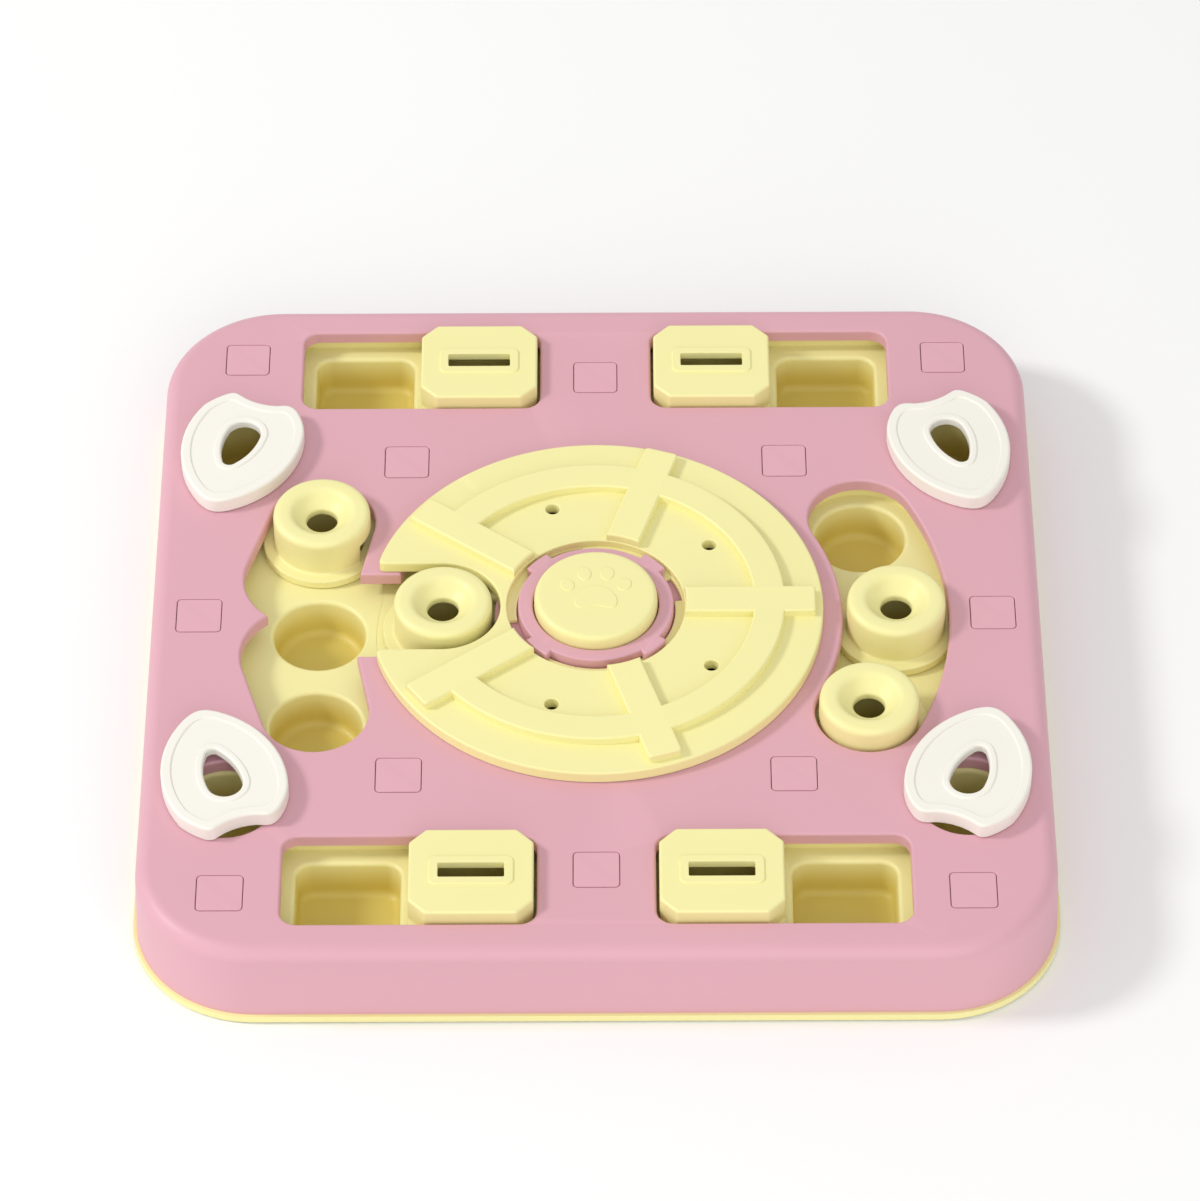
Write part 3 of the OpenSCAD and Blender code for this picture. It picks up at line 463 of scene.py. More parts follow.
def use(piece, kind, **settings):
    """Adds one modifier and applies it."""
    modifier = piece.modifiers.new(kind.lower(), kind)
    for key, value in settings.items():
        setattr(modifier, key, value)
    hold(piece)
    bpy.ops.object.modifier_apply(modifier=modifier.name)


def combine(piece, tool, operation="DIFFERENCE"):
    """Cuts a tool out of the piece, or fuses it on, and clears the tool away."""
    use(piece, "BOOLEAN", operation=operation, object=tool, solver="EXACT")
    bpy.data.objects.remove(tool)


def joined(name, pieces):
    """Several pieces as one object."""
    hold(pieces[0])
    for other in pieces[1:]:
        other.select_set(True)
    bpy.ops.object.join()
    pieces[0].name = name
    return pieces[0]


def delete_faces(piece, test):
    """Deletes the faces that pass the test."""
    pick(piece, "FACE", test)
    bpy.ops.mesh.delete(type="FACE")
    drop_edit()


def copy_of(piece, name, matrix):
    """A copy with its own mesh, moved by a matrix that is then part of the mesh."""
    twin = piece.copy()
    twin.data = piece.data.copy()
    twin.name = name
    bpy.context.scene.collection.objects.link(twin)
    twin.data.transform(matrix)
    if matrix.determinant() < 0:
        twin.data.flip_normals()
    return twin


def moved(x, y):
    """The move to a spot on the board, in millimetres."""
    return Matrix.Translation((x / 1000, y / 1000, 0))


def done(piece, name, body, finish, nodes, angle=32):
    """Smooths a piece, gives it its finish, and sets it on its body in place of its CAD nodes."""
    hold(piece)
    piece.name = name
    piece.data.name = name
    piece.data.materials.clear()
    piece.data.materials.append(finish_for(finish))
    bpy.ops.object.shade_smooth_by_angle(angle=radians(angle))
    use(piece, "WEIGHTED_NORMAL", mode="FACE_AREA", weight=50, keep_sharp=True)
    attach(piece, body)
    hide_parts(*nodes)


def four_done(first, name, body, finish, node, spot, flip=False):
    """Copies a piece to its spot in each corner, flipped over if asked, and clears it away."""
    for corner, (sx, sy) in CORNERS.items():
        place = moved(sx * spot[0], sy * spot[1])
        if flip:
            place = Matrix.Diagonal((sx, sy, 1, 1)) @ moved(*spot)
        done(copy_of(first, name, place), name + corner, body.format(corner), finish,
             (node + corner,))
    bpy.data.objects.remove(first)


# ---- finishes


class Signal:
    """A value, colour or vector on its way through a material."""

    def __init__(self, socket):
        self.socket = socket

    def reckon(self, operation, first, second):
        """Adds the Math node for one sum."""
        node = self.socket.id_data.nodes.new("ShaderNodeMath")
        node.operation = operation
        feed(node.inputs[0], first)
        feed(node.inputs[1], second)
        return Signal(node.outputs[0])

    def __add__(self, other):
        return self.reckon("ADD", self, other)

    def __sub__(self, other):
        return self.reckon("SUBTRACT", self, other)

    def __rsub__(self, other):
        return self.reckon("SUBTRACT", other, self)

    def __mul__(self, other):
        return self.reckon("MULTIPLY", self, other)

    __radd__ = __add__
    __rmul__ = __mul__


def feed(socket, value):
    """Links a signal to a socket, or types a plain value into it."""
    if isinstance(value, Signal):
        socket.id_data.links.new(value.socket, socket)
    else:
        socket.default_value = value


class Finish:
    """The nodes of a material, or of the surroundings, in the making."""

    def __init__(self, holder, end="Principled BSDF"):
        self.holder = holder
        holder.use_nodes = True
        self.tree = holder.node_tree
        self.surface = self.tree.nodes[end]

    def add(self, kind, settings=None, values=None, output=0):
        """Adds any node: its type, its settings, then its values or links."""
        node = self.tree.nodes.new("ShaderNode" + kind)
        for key, value in (settings or {}).items():
            if key == "stops":
                while len(node.color_ramp.elements) < len(value):
                    node.color_ramp.elements.new(0.5)
                for element, (place, tone) in zip(node.color_ramp.elements, value):
                    element.position = place
                    element.color = (tone, tone, tone, 1)
            else:
                setattr(node, key, value)
        for key, value in (values or {}).items():
            feed(node.inputs[key], value)
        return Signal(node.outputs[output])

    def blend(self, share, first, second):
        """Mixes two colours."""
        return self.add("Mix", {"data_type": "RGBA"}, {0: share, 6: first, 7: second}, 2)

    def noise(self, place, scale, detail=2.0, roughness=0.5):
        """Adds a soft cloudy pattern."""
        return self.add("TexNoise", values={
            "Vector": place, "Scale": scale, "Detail": detail, "Roughness": roughness})

    def set(self, **values):
        """Sets the surface's sockets, written with underscores for spaces."""
        for key, value in values.items():
            feed(self.surface.inputs[key.replace("_", " ")], value)
        return self.holder


def shade(colour, factor):
    """A colour made lighter or deeper."""
    return (*(min(part * factor, 1.0) for part in colour[:3]), 1.0)


def moulded_plastic(name, colour, gloss, skin, painted_shade_tone=None):
    """Satin moulded plastic with a fine skin, faint flow marks, a painted highlight that lightens
    convex edges and, where a cup tone is given, painted shade that deepens the colour low in the
    cups.
    """
    finish = Finish(bpy.data.materials.new(name))
    place = finish.add("TexCoord", output=3)
    flow = finish.noise(place, 11.0, 3.0)
    specks = finish.noise(place, 900.0, 1.0)
    # Convex edges found by pointiness: their colour gets a painted highlight below, and their
    # roughness is lowered a little.
    edge = finish.add(
        "ValToRGB", {"stops": ((0.51, 0.0), (0.60, 1.0))},
        {"Fac": finish.add("NewGeometry", output=7)})
    body = finish.blend(flow, shade(colour, 0.965), shade(colour, 1.03))
    # Painted shade: below about 21 mm the colour eases into the deeper cup-floor yellow, in place
    # of the shade and bounced yellow light low in the cups.
    if painted_shade_tone:
        height = finish.add("SeparateXYZ", values={"Vector": place}, output=2)
        painted_shade_mask = finish.add("MapRange", {"interpolation_type": "SMOOTHSTEP"}, {
            "Value": height, "From Min": 0.021, "From Max": 0.010, "To Min": 0.0, "To Max": 1.0})
        body = finish.blend(painted_shade_mask, body, (*painted_shade_tone, 1.0))
    # Painted highlight: convex edges are made up to a tenth lighter.
    painted_edge_highlight = finish.blend(edge * 0.35, body, shade(colour, 1.10))
    grain = finish.noise(place, 1500.0, 2.0, 0.6)
    ripple = finish.noise(place, 70.0, 2.0)
    bump = finish.add("Bump", values={
        "Strength": skin, "Distance": 0.0004, "Height": grain * 0.3 + ripple * 0.7})
    return finish.set(
        Base_Color=painted_edge_highlight,
        Roughness=gloss + flow * 0.10 + specks * 0.05 - edge * 0.06,
        Normal=bump,
        IOR=1.49,
        Specular_IOR_Level=0.42,
    )


def dull_rubber(name, colour):
    """Dull rubber with a dusty bloom."""
    finish = Finish(bpy.data.materials.new(name))
    place = finish.add("TexCoord", output=3)
    bloom = finish.noise(place, 140.0, 4.0, 0.65)
    grain = finish.noise(place, 1800.0, 2.0)
    bump = finish.add("Bump", values={"Strength": 0.25, "Distance": 0.0003, "Height": grain})
    return finish.set(
        Base_Color=finish.blend(bloom, shade(colour, 0.8), shade(colour, 1.35)),
        Roughness=bloom * 0.2 + 0.62,
        Normal=bump,
    )


def zinc_plate(name, colour):
    """Zinc plated steel with faint turning marks."""
    finish = Finish(bpy.data.materials.new(name))
    place = finish.add("TexCoord", output=3)
    stretched = finish.add("Mapping", values={"Vector": place, "Scale": (1.0, 1.0, 14.0)})
    marks = finish.noise(stretched, 420.0, 3.0)
    cloud = finish.noise(place, 160.0, 2.0)
    bump = finish.add("Bump", values={"Strength": 0.15, "Distance": 0.0002, "Height": marks})
    return finish.set(
        Base_Color=finish.blend(cloud, shade(colour, 0.86), shade(colour, 1.08)),
        Metallic=1.0,
        Roughness=marks * 0.18 + 0.24,
        Normal=bump,
    )


def studio_floor(name, colour):
    """A pale matt floor that shows the board's soft shadow."""
    finish = Finish(bpy.data.materials.new(name))
    place = finish.add("TexCoord", output=3)
    cloud = finish.noise(place, 1.3, 2.0)
    return finish.set(
        Base_Color=finish.blend(cloud, shade(colour, 0.995), shade(colour, 1.005)),
        Roughness=cloud * 0.05 + 0.8,
        Specular_IOR_Level=0.1,
    )


MIXES = {
    "pink_plastic": lambda c: moulded_plastic("pink moulded plastic", c.cover, 0.40, 0.10),
    "yellow_plastic": lambda c: moulded_plastic("yellow moulded plastic", c.pieces, 0.36, 0.08),
    # The cups' finish carries painted shade: a deeper yellow low down in them.
    "yellow_cups_painted_shade": lambda c: moulded_plastic(
        "yellow cup plastic with painted shade", c.pieces, 0.38, 0.08, tuple(c.cup_floor)),
    "white_plastic": lambda c: moulded_plastic("white moulded plastic", c.petals, 0.36, 0.08),
    "grey_rubber": lambda c: dull_rubber("grey rubber", c.rubber),
    "rubber_feet": lambda c: dull_rubber("rubber feet", c.rubber),
    "steel": lambda c: zinc_plate("zinc plated steel", c.steel),
}
FINISHES = {}


def finish_for(kind):
    """A finish, mixed the first time that a piece asks for it."""
    if kind not in FINISHES:
        FINISHES[kind] = MIXES[kind](bpy.context.scene.puzzle_colours)
    return FINISHES[kind]


# ---- what a user may change


def length(name, description, millimetres):
    """A size that a user may change."""
    return FloatProperty(
        name=name, description=description, default=millimetres / 1000, min=0.0,
        soft_max=millimetres / 250, unit="LENGTH", subtype="DISTANCE", precision=5)


def tone(name, description, colour):
    """A colour that a user may change."""
    return FloatVectorProperty(
        name=name, description=description, default=colour, size=3, min=0.0, max=1.0,
        subtype="COLOR")


class PuzzleSizes(PropertyGroup):
    """Small sizes of the moulded pieces that a user may change."""

    cover_round: length("Cover edge", "Radius between the cover's top and its sides", 4.5)
    window_round: length("Window edge", "Radius of the edge around each window", 0.9)
    cover_wall: length("Cover wall", "Thickness of the cover's shell", 2.0)
    cup_mouth: length("Cup mouth", "Radius of the edge at a food cup's mouth", 1.4)
    cup_floor: length("Cup floor", "Radius between a cup's wall and its floor", 2.4)
    pan_wall: length("Pan wall", "Thickness of a pan's shell", 1.8)
    slider_round: length("Slider edge", "Radius of a slider's top edges", 0.8)
    peg_round: length("Peg edge", "Reach of the round edge at a peg's top", 2.3)
    petal_border: length("Petal border", "Width of the raised border of a petal", 2.7)
    petal_dip: length("Petal dip", "Depth of a petal's middle below its border", 0.45)
    rib_round: length("Rib edge", "Radius of the edges of the turntable's ring and spokes", 0.7)
    paw_rise: length("Paw rise", "Height of the paw print on the button", 0.28)


class PuzzleColours(PropertyGroup):
    """Colours of the plastics, rubber and steel."""

    cover: tone("Cover", "Pink of the cover, the caps and the hub collar", (0.69, 0.375, 0.436))
    pieces: tone("Pieces", "Pale yellow of the base, cups and moving pieces", (0.868, 0.812, 0.376))
    # Painted shade: this deeper yellow is mixed in low in the cups to stand in for the shade there.
    cup_floor: tone("Cup floor", "Deeper yellow inside the cups", (0.72, 0.59, 0.155))
    petals: tone("Petals", "Warm white of the four petals", (0.87, 0.84, 0.76))
    rubber: tone("Rubber", "Grey of the feet and the bellows", (0.09, 0.09, 0.095))
    steel: tone("Steel", "Zinc plating of the screws and pins", (0.55, 0.56, 0.58))


def mm(name):
    """One of the user's sizes in millimetres."""
    return getattr(bpy.context.scene.puzzle_sizes, name) * 1000


# ---- the pieces


def cover_wells():
    """The outlines of the cover's windows, apart from the middle and the left ones."""
    w, d, corner_r = 75, 34, 5
    wells = [round_rect(w, d, corner_r, (sx * SLIDER_WINDOW[0], sy * SLIDER_WINDOW[1]))
             for sx, sy in CORNERS.values()]
    wells += [circle(CORNER_HOLE_R, (sx * CORNER_CUP[0], sy * CORNER_CUP[1]), 64)
              for sx, sy in CORNERS.values()]
    return wells + [arc_band(RIGHT_WINDOW_HALF)]


class PUZZLE_OT_top_cover(Operator):
    """Models the pink cover with its windows and cap pockets"""

    bl_idname = "puzzle.top_cover"
    bl_label = "Top cover"

    def execute(self, context):
        bottom, top = low("top_cover"), high("top_cover")
        window_floor, pocket_floor = top - 4.25, top - 2.2
        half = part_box("top_cover")[1].x
        draft = 0.0009
        clear()
        bpy.ops.mesh.primitive_cube_add(
            size=1, location=(0, 0, (top + bottom) / 2000),
            scale=(2 * half, 2 * half, (top - bottom) / 1000))
        cover = bpy.context.object
        bpy.ops.object.transform_apply(location=True, rotation=True, scale=True)
        pick(cover, "EDGE", lambda e: abs(e.verts[0].co.z - e.verts[1].co.z) > 0.01)
        bpy.ops.mesh.bevel(
            offset=BOARD_CORNER_R / 1000, segments=24, affect="EDGES", clamp_overlap=False)
        drop_edit()
        pick(cover, "VERT", lambda v: v.co.z * 1000 > top - 1)
        share = (half - draft) / half
        bpy.ops.transform.resize(value=(share, share, 1), center_override=(0, 0, 0))
        drop_edit()
        soften(cover, mm("cover_round"), level(top), 8)
        lip = mm("window_round")
        middle_well = well(
            "middle", circle(MIDDLE_WINDOW_R, count=160), top, window_floor, lip)
        combine(middle_well, well("left", left_window(), top + 0.01, window_floor - 0.05, lip),
                "UNION")
        tools = [middle_well]
        tools += [well("window", outline, top, window_floor, lip) for outline in cover_wells()]
        tools += [well("pocket", round_rect(13.9, 13.9, 1.5, spot, 6), top, pocket_floor, 0.3)
                  for spot in CAP_SPOTS]
        combine(cover, joined("windows", tools))
        tidy(cover)
        delete_faces(cover, lambda f: (
            abs(f.normal.z) > 0.9 and f.calc_center_median().z * 1000 < window_floor + 0.1
            or at_height(f, window_floor, 0.1)))
        use(cover, "SOLIDIFY", thickness=mm("cover_wall") / 1000, offset=-1,
            use_quality_normals=True)
        done(cover, "cover_shell", "housing", "pink_plastic", ("top_cover",))
        return {"FINISHED"}


class PUZZLE_OT_square_caps(Operator):
    """Models one square cap and copies it to its twelve pockets"""

    bl_idname = "puzzle.square_caps"
    bl_label = "Square caps"

    def execute(self, context):
        bottom, top = low("square_caps"), high("square_caps")
        first = slab("cap", round_rect(13.5, 13.5, 1.3, (0, 0), 6), bottom, top)
        soften(first, 0.3, crease(top), 2)
        caps = [copy_of(first, "cap", moved(*spot)) for spot in CAP_SPOTS]
        bpy.data.objects.remove(first)
        done(joined("caps", caps), "screw_caps", "housing", "pink_plastic", ("square_caps",))
        return {"FINISHED"}


def pan(name, outline, cups, wall_test, holes=()):
    """A pan pressed from one wall: its deck, the cups sunk in it and the wall around it."""
    wall_top, draft = high("box_pan_back_left"), 0.5
    tray = slab(name, outline, CUP_BOTTOM - 2, DECK)
    combine(tray, joined("cups", [
        well("cup", cup, DECK, CUP_BOTTOM, mm("cup_mouth"), mm("cup_floor"), draft)
        for cup in cups]))
    for hole in holes:
        combine(tray, slab("hole", hole, 0, DECK + 5))
    tidy(tray)
    delete_faces(tray, lambda f: min(v.co.z for v in f.verts) * 1000 < CUP_BOTTOM - 1.5)
    pick(tray, "EDGE", lambda e: e.is_boundary and wall_test(middle(e)))
    bpy.ops.mesh.extrude_edges_move(
        TRANSFORM_OT_translate={"value": (0, 0, (wall_top - DECK) / 1000)})
    drop_edit()
    use(tray, "SOLIDIFY", thickness=mm("pan_wall") / 1000, offset=-1, use_quality_normals=True)
    return tray


class PUZZLE_OT_box_pans(Operator):
    """Models the pan with two box cups and copies it under the four slider windows"""

    bl_idname = "puzzle.box_pans"
    bl_label = "Box pans"

    def execute(self, context):
        lo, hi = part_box("box_pan_back_right")
        flange, cup_w, cup_d, cup_r = 3.2, 31, 28, 5
        w, d = (hi.x - lo.x) * 1000 - flange, (hi.y - lo.y) * 1000 - flange
        cups = [round_rect(cup_w, cup_d, cup_r, (side * SLIDER_TRAVEL / 2, 0))
                for side in (-1, 1)]
        first = pan("box_pan", round_rect(w, d, 3), cups, lambda m: True)
        four_done(first, "cup_tray_", "housing", "yellow_cups_painted_shade", "box_pan_", SLIDER_WINDOW)
        return {"FINISHED"}


class PUZZLE_OT_round_pans(Operator):
    """Models the left, middle and right pans with their round cups"""

    bl_idname = "puzzle.round_pans"
    bl_label = "Round pans"

    def execute(self, context):
        # Where the track leads from one to the other, neither tray has a wall and the middle
        # tray reaches up to the left one. Elsewhere it ends at its own radius. The hole for the
        # disc and the one for the hub have no wall either.
        left_r, left_x, left_half = 67.2, 65.7, 22.8
        middle_r, middle_x, middle_half = 67.15, 65.65, 22.6
        tray_r, hub_r = 65.5, 26

        lo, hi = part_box("left_pan")
        flange = 1.6
        out, half_d = -lo.x * 1000 - flange, hi.y * 1000 - flange
        outline = round_rect(
            out - left_x, 2 * half_d, TRAY_HALF, (-(out + left_x) / 2, 0), 14)
        outline += [(-left_x, -left_half), (-left_x, left_half)]
        left = pan(
            "left", outline,
            [circle(ROUND_CUP_R, (-LEFT_LINE, y)) for y in (-LEFT_PITCH, 0, LEFT_PITCH)],
            lambda m: hypot(m.x, m.y) > left_r + 0.4 and not (abs(m.y) < 22.5 and m.x > -70),
            (circle(left_r, count=160),))
        done(left, "left_cup_tray", "housing", "yellow_cups_painted_shade", ("left_pan",))

        outline = []
        for x, y in circle(tray_r, count=160):
            at_track = x < 0 and abs(y) < middle_half
            reach = max(middle_r / tray_r, -middle_x / x) if at_track else 1
            outline.append((x * reach, y * reach))
        centre = pan(
            "centre", outline, [circle(ROUND_CUP_R, polar(INNER_LINE, a)) for a in INNER_TURNS],
            lambda m: hypot(m.x, m.y) > 60 and not (m.x < 0 and abs(m.y) < 25),
            (circle(hub_r, count=96),))
        done(centre, "middle_cup_tray", "housing", "yellow_cups_painted_shade", ("centre_pan",))

        cups = [circle(ROUND_CUP_R, polar(RIGHT_LINE, a)) for a in (-RIGHT_STEP, 0, RIGHT_STEP)]
        right = pan("right", arc_band(TRAY_HALF), cups, lambda m: True)
        done(right, "right_cup_tray", "housing", "yellow_cups_painted_shade", ("arc_pan",))
        return {"FINISHED"}


class PUZZLE_OT_corner_cups(Operator):
    """Models one corner cup and copies it under the four petals"""

    bl_idname = "puzzle.corner_cups"
    bl_label = "Corner cups"

    def execute(self, context):
        lo, hi = low("corner_cup_back_right"), high("corner_cup_back_right")
        body_r, flange_r, wall = 15.8, 18.2, 2
        section = softened([
            (0, lo, 0), (body_r, lo, 0.8), (body_r, hi - wall, 0.4), (flange_r, hi - wall, 0.2),
            (flange_r, hi, 0.4), (ROUND_CUP_R, hi, mm("cup_mouth")),
            (ROUND_CUP_R - 0.5, lo + wall, mm("cup_floor")), (0, lo + wall, 0),
        ])
        four_done(turned("corner_cup", section), "petal_cup_", "housing", "yellow_cups_painted_shade",
                  "corner_cup_", CORNER_CUP)
        return {"FINISHED"}


class PUZZLE_OT_sliders(Operator):
    """Models one slider with its scent slot and copies it to the four windows"""

    bl_idname = "puzzle.sliders"
    bl_label = "Sliders"

    def execute(self, context):
        lo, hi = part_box("slider_back_right")
        bottom, border_top = lo.z * 1000, hi.z * 1000
        top, rail_top, x, y, cut = border_top - 0.5, 24.45, 18.35, 16.25, 5.0
        plan = softened([
            (x, -y + cut, 0.6), (x, y - cut, 0.6), (x - cut, y, 0.6), (-x + cut, y, 0.6),
            (-x, y - cut, 0.6), (-x, -y + cut, 0.6), (-x + cut, -y, 0.6), (x - cut, -y, 0.6),
        ])
        block = slab("slider", plan, bottom, top)
        soften(block, mm("slider_round"), level(top), 4)
        rail = slab("rail", round_rect(2 * x, (hi.y - lo.y) * 1000, 1.0, (0, 0), 4), bottom,
                    rail_top)
        soften(rail, 0.4, level(rail_top), 2)
        combine(block, rail, "UNION")
        border = slab("border", round_rect(25.1, 11.0, 2.2), top - 1, border_top)
        soften(border, 0.48, level(border_top), 4)
        combine(block, border, "UNION")
        combine(block, slab("room", round_rect(23.5, 26.5, 1.0), bottom - 1, top - 2))
        combine(block, slab("slot", round_rect(19.5, 5.4, 0.5, (0, 0), 4), top - 5, border_top + 1))
        soften(block, 0.25, crease(border_top), 2)
        rest = (SLIDER_WINDOW[0] - SLIDER_TRAVEL / 2, SLIDER_WINDOW[1])
        four_done(block, "sliding_lid_", "slider_{}", "yellow_plastic", "slider_", rest)
        return {"FINISHED"}


class PUZZLE_OT_pegs(Operator):
    """Models the funnel peg and copies it to its four places"""

    bl_idname = "puzzle.pegs"
    bl_label = "Pegs"

    def execute(self, context):
        foot, top = low("peg_inner"), high("peg_inner")
        body_r, bore_r, foot_r, foot_top = 15, 13, 18.5, foot + 2.8
        cone_top, cone_foot = top - 2, top - 6.4
        section = softened([
            (4.8, cone_foot, 0.3), (4.8, top - 4.3, 0.6), (7.5, top - 2.6, 1.7),
            (9.5, top, 1.5), (body_r, top, mm("peg_round")), (body_r, foot_top, 0.9),
            (foot_r, foot_top, 0.5), (foot_r, foot, 0.4), (bore_r, foot, 0.3),
            (bore_r, cone_top, 1.0), (10.6, cone_top, 1.0), (6.8, cone_foot, 0.3),
        ])
        places = {
            "peg_left": (-LEFT_LINE, LEFT_PITCH),
            "peg_inner": (-INNER_LINE, 0),
            "peg_right_middle": (RIGHT_LINE, 0),
            "peg_right_front": polar(RIGHT_LINE, -RIGHT_STEP),
        }
        first = turned("peg", section)
        for node, (x, y) in places.items():
            peg = copy_of(first, node, moved(x, y))
            if node == "peg_left":
                # Room to pass the two ends of the cover's lip on a straight way.
                flat_x, flat_top, flat_w = 11.8, 29.15, 8
                flat = round_rect(flat_w, 40, 0.5, (x + flat_x + flat_w / 2, y), 3)
                combine(peg, slab("flat", flat, foot_top, flat_top))
            done(peg, "funnel_" + node, node, "yellow_plastic", (node,), 38)
        bpy.data.objects.remove(first)
        return {"FINISHED"}


class PUZZLE_OT_petals(Operator):
    """Models one petal with its border and drop-shaped hole and flips it to the four corners"""

    bl_idname = "puzzle.petals"
    bl_label = "Petals"

    def execute(self, context):
        bottom, top = low("petal_back_right"), high("petal_back_right")
        dip, pin = top - mm("petal_dip"), [share * PETAL_LEN for share in PETAL_PIN]
        wall, skin, collar_wall = 2.2, 2.6, 2.3
        leaf = slab("petal", petal_outline(), bottom, top)
        soften(leaf, 0.9, level(top), 4)
        soften(leaf, 0.3, level(bottom), 2)
        recess = slab("recess", petal_outline(mm("petal_border") + 0.4), dip, top + 2)
        combine(leaf, recess)
        soften(leaf, 0.42, crease(top), 3)
        combine(leaf, slab("hollow", petal_outline(wall), bottom - 1, top - skin))
        collar = slab("collar", drop_outline(collar_wall), top - 2.7, top)
        soften(collar, 0.5, level(top), 4)
        combine(leaf, collar, "UNION")
        combine(leaf, slab("boss", circle(4.5, pin, 40), bottom, top - 2.2), "UNION")
        combine(leaf, slab("pin hole", circle(2.55, pin, 32), bottom - 1, top - 2))
        combine(leaf, slab("drop", drop_outline(), bottom - 2, top + 2))
        soften(leaf, 0.9, crease(top), 4)
        four_done(leaf, "leaf_lid_", "petal_{}", "white_plastic", "petal_", CORNER_CUP, flip=True)
        return {"FINISHED"}


class PUZZLE_OT_turntable(Operator):
    """Models the turntable with its slot, scent holes, ring and spokes"""

    bl_idname = "puzzle.turntable"
    bl_label = "Turntable"

    def execute(self, context):
        bottom, rib_top = low("turntable"), high("turntable")
        top, mouth = rib_top - 2.8, 2.4
        turn = degrees(atan2(DISC_SLOT_HALF, sqrt(DISC_R ** 2 - DISC_SLOT_HALF ** 2)))
        rim = arc(0, 0, DISC_R, -180 + turn, 180 - turn, 200)
        way = arc(-DISC_SLOT_END, 0, DISC_SLOT_HALF, 90, -90, 48)
        plan = bend(way[-1], rim[0], rim[4], mouth) + rim[2:-2]
        plan += bend(rim[-5], rim[-1], way[0], mouth) + way
        plate = slab("turntable", plan, bottom, top)
        soften(plate, 0.7, level(top), 4)
        holes = [well("scent", circle(2.15, polar(SCENT_LINE, a), 32), top, bottom - 1, 0.4)
                 for a in INNER_TURNS[:-1]]
        holes.append(well("eye", circle(EYE_R, count=120), top, bottom - 1, 0.4))
        combine(plate, joined("holes", holes))
        edge = mm("rib_round")
        ring = sector(48.2, 57.7, -2 * SPOKE_STEP, 2 * SPOKE_STEP, 120)
        ribs = slab("ribs", ring, top - 1.5, rib_top)
        soften(ribs, edge, level(rib_top), 4)
        near, far, half_w = 20, 67, 5.25
        bar = softened([
            (near, -half_w, 0), (far, -half_w, 1.3), (far, half_w, 1.3), (near, half_w, 0)])
        for i in range(-2, 3):
            spoke = slab("spoke", swung(bar, SPOKE_STEP * i), top - 1.3, rib_top + 0.01)
            soften(spoke, edge, level(rib_top + 0.01), 4)
            combine(ribs, spoke, "UNION")
        combine(ribs, well("eye", circle(EYE_R + 0.3, count=120), rib_top, top - 3, edge))
        half_w = DISC_SLOT_HALF + 0.3
        behind = arc(-DISC_SLOT_END, 0, half_w, 90, -90, 48) + [(-80, -half_w), (-80, half_w)]
        combine(ribs, well("way", behind[::-1], rib_top, top - 3, edge))
        combine(plate, ribs, "UNION")
        tidy(plate)
        # The ledge that the collar's lugs hold down, with four notches to let them through.
        foot = bottom + 0.02
        ledge_top = foot + 1.2
        ledge = slab("ledge", circle(27.9, count=120), foot, ledge_top)
        combine(ledge, slab("inner", circle(24.2, count=120), foot - 1, foot + 3))
        for i in range(4):
            a = 20 + 90 * i
            notch = sector(20, 26.6, a - 11, a + 11, 12)
            combine(ledge, slab("notch", notch, foot - 1, foot + 3))
        soften(ledge, 0.3, crease(ledge_top), 2)
        combine(plate, ledge, "UNION")
        done(plate, "treat_turntable", "turntable", "yellow_plastic", ("turntable",))
        return {"FINISHED"}


class PUZZLE_OT_hub_collar(Operator):
    """Models the pink collar around the button with its four lugs"""

    bl_idname = "puzzle.hub_collar"
    bl_label = "Hub collar"

    def execute(self, context):
        bottom, top = low("hub_collar"), high("hub_collar")
        neck_r, well_r, mouth_r, wing_r, wing_foot, wing_top = 23.7, 21, 19.2, 30.9, 25.8, 29
        section = softened([
            (2, bottom, 0), (neck_r, bottom, 0.6), (neck_r, wing_foot, 0),
            (wing_r, wing_foot, 0.3), (wing_r, wing_top, 0.5), (neck_r, wing_top, 0.4),
            (neck_r, top, 0.7), (mouth_r, top, 0.7), (mouth_r, top - 3.3, 0.3),
            (well_r, top - 3.3, 0), (well_r, bottom + 2, 0.6), (2, bottom + 2, 0),
        ])
        collar = turned("collar", section, steps=120)
        lug_foot = 31
        for a in (45, 135, 225, 315):
            lug = slab("lug", sector(21.5, 26, a - 10, a + 10, 14), lug_foot, top)
            soften(lug, 0.6, lambda e: at_height(e, top) or sharp(e, 60) and not (
                at_height(e, lug_foot)), 3)
            combine(collar, lug, "UNION")
        holes = [slab("screw hole", circle(1.2, polar(15, a), 24), bottom - 1, bottom + 3)
                 for a in (0, 90, 180, 270)]
        combine(collar, joined("screw holes", holes))
        done(collar, "button_collar", "housing", "pink_plastic", ("hub_collar",))
        return {"FINISHED"}


